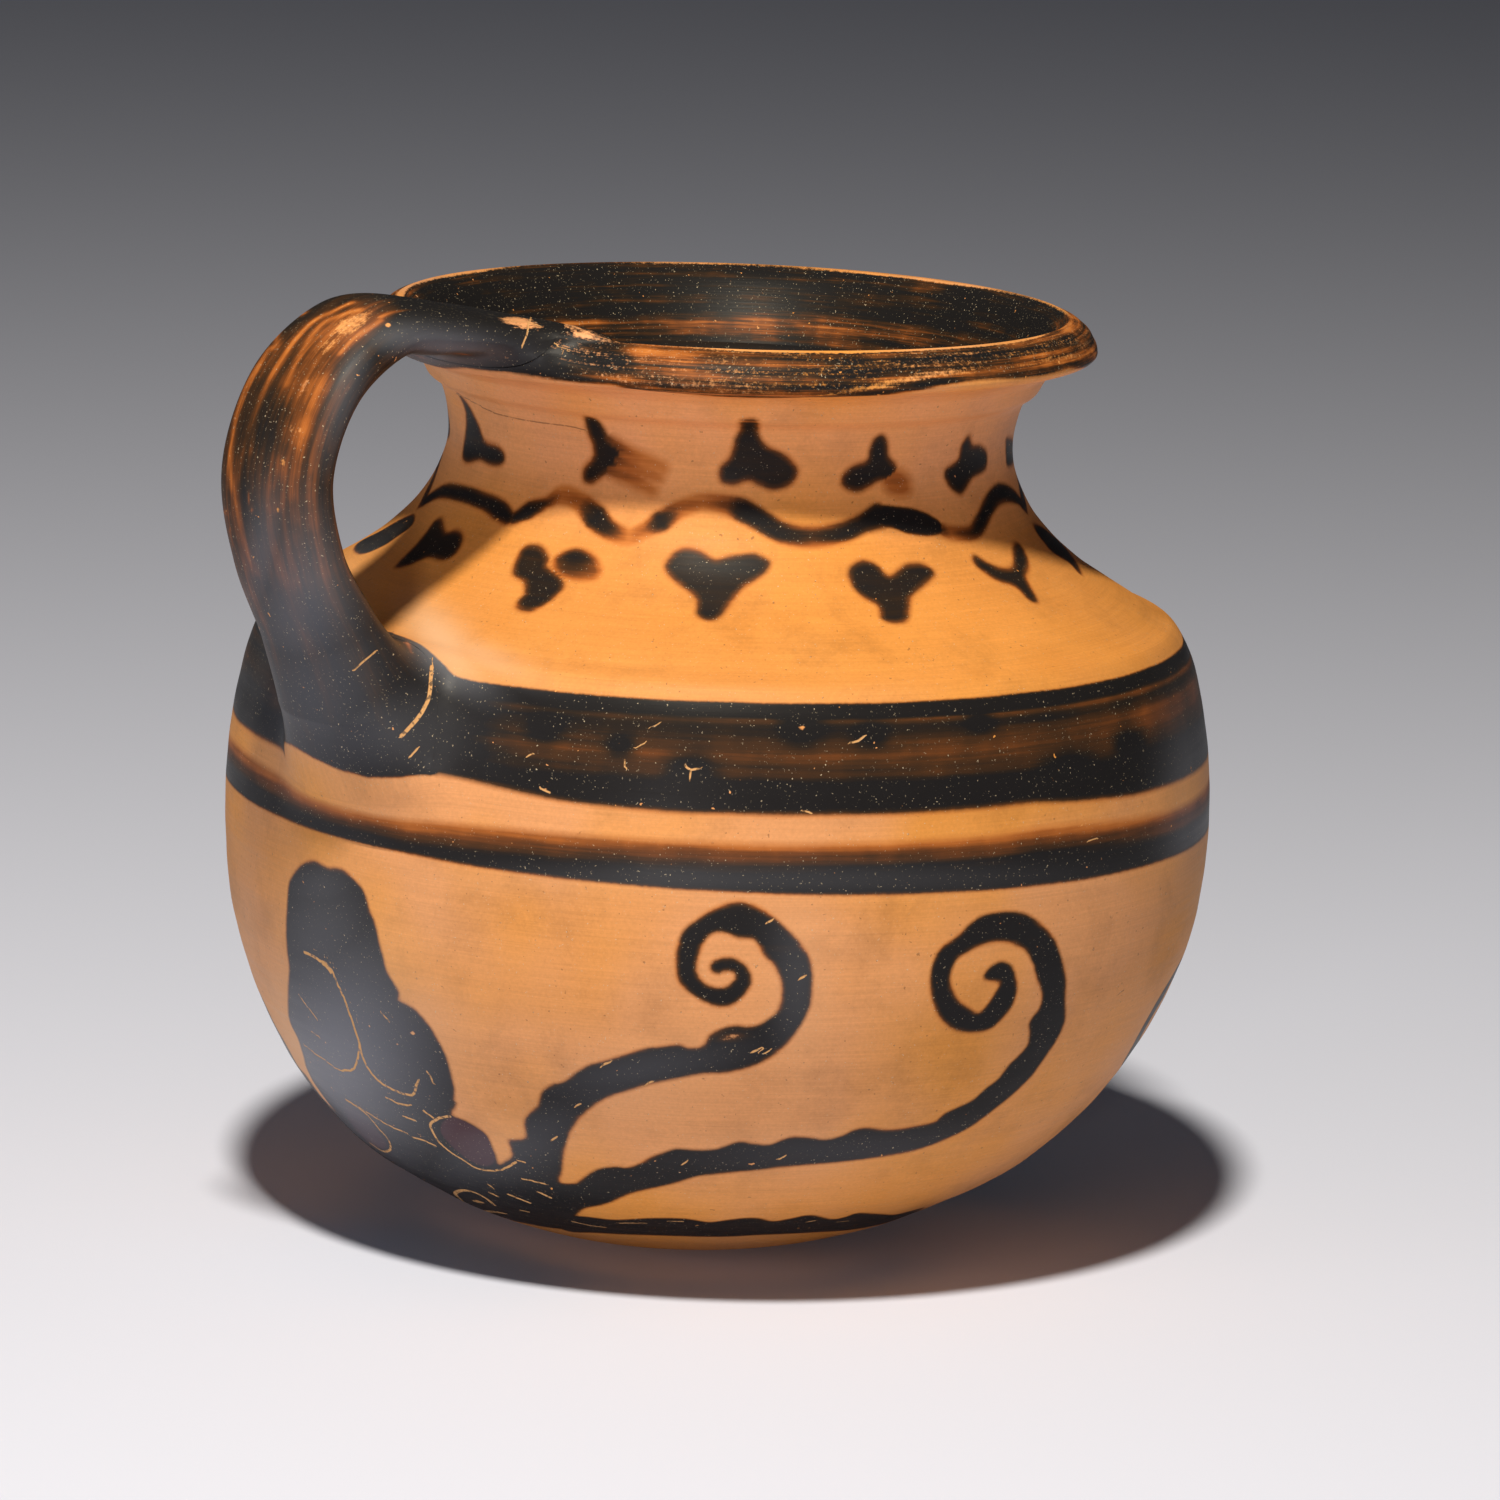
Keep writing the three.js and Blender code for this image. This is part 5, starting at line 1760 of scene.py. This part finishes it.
def worn_slip_group():
    """Where slip has rubbed or flaked off: a general amount, streaks along the way, and scattered flecks."""
    tree, given, result = new_tree("worn slip", "ShaderNodeTree", [
        ("Worn", "Float"), ("Place", "Vector"), ("Way", "Vector"), ("Stretch", "Vector"),
        ("Fleck Amount", "Float"),
    ], [("Bare", "Float"), ("Dust", "Float")])
    place, flecks = given["Place"], given["Fleck Amount"]
    streak = noise(tree, scaled(tree, given["Way"], given["Stretch"]), 1.6, 3, 0.65)
    speckle = noise(tree, place, 2.1, 3, 0.7)
    doubt = plus(tree, times(tree, streak, 0.45), times(tree, speckle, 0.55))
    rubbed = between(tree, plus(tree, given["Worn"], doubt), 0.98, 1.16)
    faint = between(tree, noise(tree, place, 0.7, 1), 0.4, 0.6, 0.25, 0.85)
    fine = between(tree, plus(tree, noise(tree, place, 3.8, 2, 0.55), flecks), 0.77, 0.8)
    broad = between(tree, plus(tree, noise(tree, place, 0.9, 2, 0.6), flecks), 0.83, 0.85)
    deliver(tree, result, {"Bare": reckon(tree, "MAXIMUM", rubbed, broad), "Dust": times(tree, fine, faint)})
    return tree


def cut_line_group():
    """A thin line from its signed distance, its run and its half width."""
    tree, given, result = new_tree("cut line", "ShaderNodeTree", [("Line", "Vector"), ("Place", "Vector")],
                                   [("Cut", "Float")])
    line, place = split(tree, given["Line"]), given["Place"]
    wobble = times(tree, minus(tree, noise(tree, place, 1.2, 2), 0.5), 0.12)
    inside = minus(tree, line["Z"], reckon(tree, "ABSOLUTE", plus(tree, line["X"], wobble)))
    cut = times(tree, between(tree, inside, -0.05, 0.03), between(tree, line["Y"], 0.45, 0.6))
    skips = between(tree, noise(tree, place, 1.6, 2), 0.36, 0.46, 0.25, 1)
    deliver(tree, result, {"Cut": times(tree, cut, skips)})
    return tree


painted_edge, worn_slip, cut_line = painted_edge_group(), worn_slip_group(), cut_line_group()
groups = (fired_clay, gloss_slip, painted_edge, worn_slip, cut_line)
print("shader groups:", ", ".join(group.name for group in groups))

# %% [markdown]
# ## The materials
# One recipe makes every finish of the mug: clay below, slip over it where the coat says so, purple over the
# slip, and cuts and wear back down to the clay. The pieces differ in how their streaks run and how worn they
# are.

# %% The recipe
PURPLE = (0.060, 0.020, 0.026)
# Painted sheen: the grey it turns the slip to, and the pale it turns the clay to, which beside the root is a
# pale smear.
PAINTED_SHEEN = (0.165, 0.170, 0.195)
PALE_SMEAR_AND_SHEEN = (0.66, 0.42, 0.26)
CRACK = (0.16, 0.065, 0.028)
FRESH_CLAY = (0.56, 0.30, 0.12)
DUST = (0.50, 0.41, 0.28)
ROUND_STRETCH = (0.035, 0.035, 1.3)
LIP_STRETCH = (0.06, 0.06, 2.4)
STRAP_STRETCH = (0.07, 1.6, 1.6)


RECIPES = [
    ("fired_orange_clay", ROUND_STRETCH, 0.2, 0.0, 0.12),
    ("painted_clay", ROUND_STRETCH, 0.5, 0.085, 0.2),
    ("slip_on_lip", LIP_STRETCH, 1.6, 0.1, 0.3),
    ("slip_on_handle", STRAP_STRETCH, 0.95, 0.095, 0.2),
]


def grouped(tree, group, inputs):
    return add_node(tree, "ShaderNodeGroup", inputs, node_tree=group).outputs


def pot_material(name, stretch, streaks, flecks, ragged):
    """Builds one finish: the run and strength of its streaks, its flecks, and how ragged its slip is."""
    material = MATERIALS[name]
    material.use_nodes = True
    tree = material.node_tree
    tree.nodes.clear()
    place = scaled(tree, add_node(tree, "ShaderNodeTexCoord").outputs["Object"], (1 / MM,) * 3)
    way = attribute(tree, "way", "Vector")
    common = {"Place": place, "Way": way, "Stretch": stretch}
    clay_out = grouped(tree, fired_clay, {**common, "Speck Amount": 0.55})
    edge_out = grouped(tree, painted_edge, {
        "Edge": attribute(tree, "slip_edge"), "Softness": attribute(tree, "slip_soft"),
        "Tone": attribute(tree, "slip_tone"), "Place": place, "Raggedness": ragged})
    slip_out = grouped(tree, gloss_slip, {**common, "Depth": edge_out["Depth"], "Streaks": streaks})
    wear_out = grouped(tree, worn_slip, {**common, "Worn": attribute(tree, "worn"), "Fleck Amount": flecks})
    chip = between(tree, attribute(tree, "bare_edge"), -0.08, 0.08)
    bare = reckon(tree, "MAXIMUM", wear_out["Bare"], chip)
    lines = [attribute(tree, f"cut_{k + 1}", "Vector") for k in range(CUT_CHANNELS)]
    cuts = [grouped(tree, cut_line, {"Line": line, "Place": place})["Cut"] for line in lines]
    cut = reckon(tree, "MAXIMUM", reckon(tree, "MAXIMUM", cuts[0], cuts[1]), cuts[2])
    # Painted sheen greys the slip and lightens the clay; beside the lower root it is a pale smear.
    sheen_and_smear = attribute(tree, "sheen_and_smear")
    purple = between(tree, attribute(tree, "purple_edge"), -0.1, 0.15)
    coat = blend_colours(tree, times(tree, purple, 0.85), slip_out["Colour"], PURPLE)
    coat = blend_colours(tree, sheen_and_smear, coat, PAINTED_SHEEN)
    cover = times(tree, edge_out["Cover"], minus(tree, 1.0, bare))
    ground = blend_colours(tree, times(tree, sheen_and_smear, 0.7), clay_out["Colour"], PALE_SMEAR_AND_SHEEN)
    colour = blend_colours(tree, cover, ground, coat)
    opened = times(tree, cut, between(tree, edge_out["Cover"], 0, 1, 0.6, 1))
    opening = blend_colours(tree, edge_out["Cover"], CRACK, FRESH_CLAY)
    colour = blend_colours(tree, opened, colour, opening)
    colour = blend_colours(tree, wear_out["Dust"], colour, DUST)
    rough = add_node(tree, "ShaderNodeMix", {0: cover, 2: clay_out["Roughness"], 3: slip_out["Roughness"]})
    heights = plus(tree, times(tree, cover, 0.5), times(tree, cut, -1.5))
    heights = plus(tree, heights, times(tree, clay_out["Height"], 0.5))
    heights = plus(tree, heights, times(tree, slip_out["Height"], 0.35))
    bump = add_node(tree, "ShaderNodeBump", {"Height": heights, "Strength": 0.5, "Distance": 0.06 * MM})
    shader = add_node(tree, "ShaderNodeBsdfPrincipled", {
        "Base Color": colour, "Roughness": rough.outputs[0], "Normal": bump.outputs[0],
        "Specular IOR Level": between(tree, cover, 0, 1, 0.1, 0.07)})
    add_node(tree, "ShaderNodeOutputMaterial", {"Surface": shader.outputs[0]}, is_active_output=True)


for recipe in RECIPES:
    pot_material(*recipe)
print("materials:", ", ".join(MATERIALS))

# %% Dress the frame
for name, piece in thrown.items():
    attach(piece, "root")
    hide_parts(name)
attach(handle, "root")
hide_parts("handle_upper_lute", "handle_strap", "handle_lower_lute")
print("pieces that ride on the root:", len(thrown) + 1)

# %% [markdown]
# ## Floor and light
# The mug stands on a wide pale floor. A small warm light high on its left models it and casts the shadow
# under it, as in the photograph. A low front light, a cool one from the side and a faint world fill the
# rest. The Standard view transform keeps the strong orange and the black.

# %% Floor
FLOOR_REACH = 9.0
FLOOR_COLOUR, FLOOR_ROUGHNESS = (0.69, 0.73, 0.90, 1), 0.8
floor_mesh = bpy.data.meshes.new("floor")
corners = [(x * FLOOR_REACH, y * FLOOR_REACH, 0) for x, y in ((-1, -1), (1, -1), (1, 1), (-1, 1))]
floor_mesh.from_pydata(corners, [], [(0, 1, 2, 3)])
floor_finish = bpy.data.materials.new("pale_floor")
floor_finish.use_nodes = True
floor_shader = floor_finish.node_tree.nodes["Principled BSDF"]
floor_shader.inputs["Base Color"].default_value = FLOOR_COLOUR
floor_shader.inputs["Roughness"].default_value = FLOOR_ROUGHNESS
floor_mesh.materials.append(floor_finish)
floor = bpy.data.objects.new("floor", floor_mesh)
bpy.context.scene.collection.objects.link(floor)
print(f"floor {2 * FLOOR_REACH:.0f} m wide")

# %% Lights
LIGHTS = [
    ("key", (-0.38, -0.29, 0.88), (0, 0, 0.06), 0.09, 12, (1.0, 0.92, 0.76)),
    ("front", (-1.1, -0.75, 0.1), (0, 0, 0.08), 0.17, 5.3, (1.0, 0.95, 0.94)),
    ("side", (-1.3, 0.35, 0.25), (0, 0, 0.05), 0.45, 1.5, (0.86, 0.92, 1.0)),
]
WORLD_COLOUR, WORLD_STRENGTH = (0.86, 0.9, 1.0, 1), 0.03


def soft_light(name, place, aim, size, power, colour):
    """A round area light at a place, turned to what it aims at."""
    data = bpy.data.lights.new(name, "AREA")
    data.shape, data.size, data.energy, data.color = "DISK", size, power, colour
    lamp = bpy.data.objects.new(name, data)
    lamp.location = place
    lamp.rotation_euler = (Vector(aim) - Vector(place)).to_track_quat("-Z", "Y").to_euler()
    bpy.context.scene.collection.objects.link(lamp)


for light in LIGHTS:
    soft_light(*light)
bpy.context.scene.view_settings.view_transform = "Standard"
world = bpy.data.worlds.new("studio")
bpy.context.scene.world = world
world.use_nodes = True
background = world.node_tree.nodes["Background"]
background.inputs["Color"].default_value = WORLD_COLOUR
background.inputs["Strength"].default_value = WORLD_STRENGTH
print("lights:", ", ".join(light[0] for light in LIGHTS))
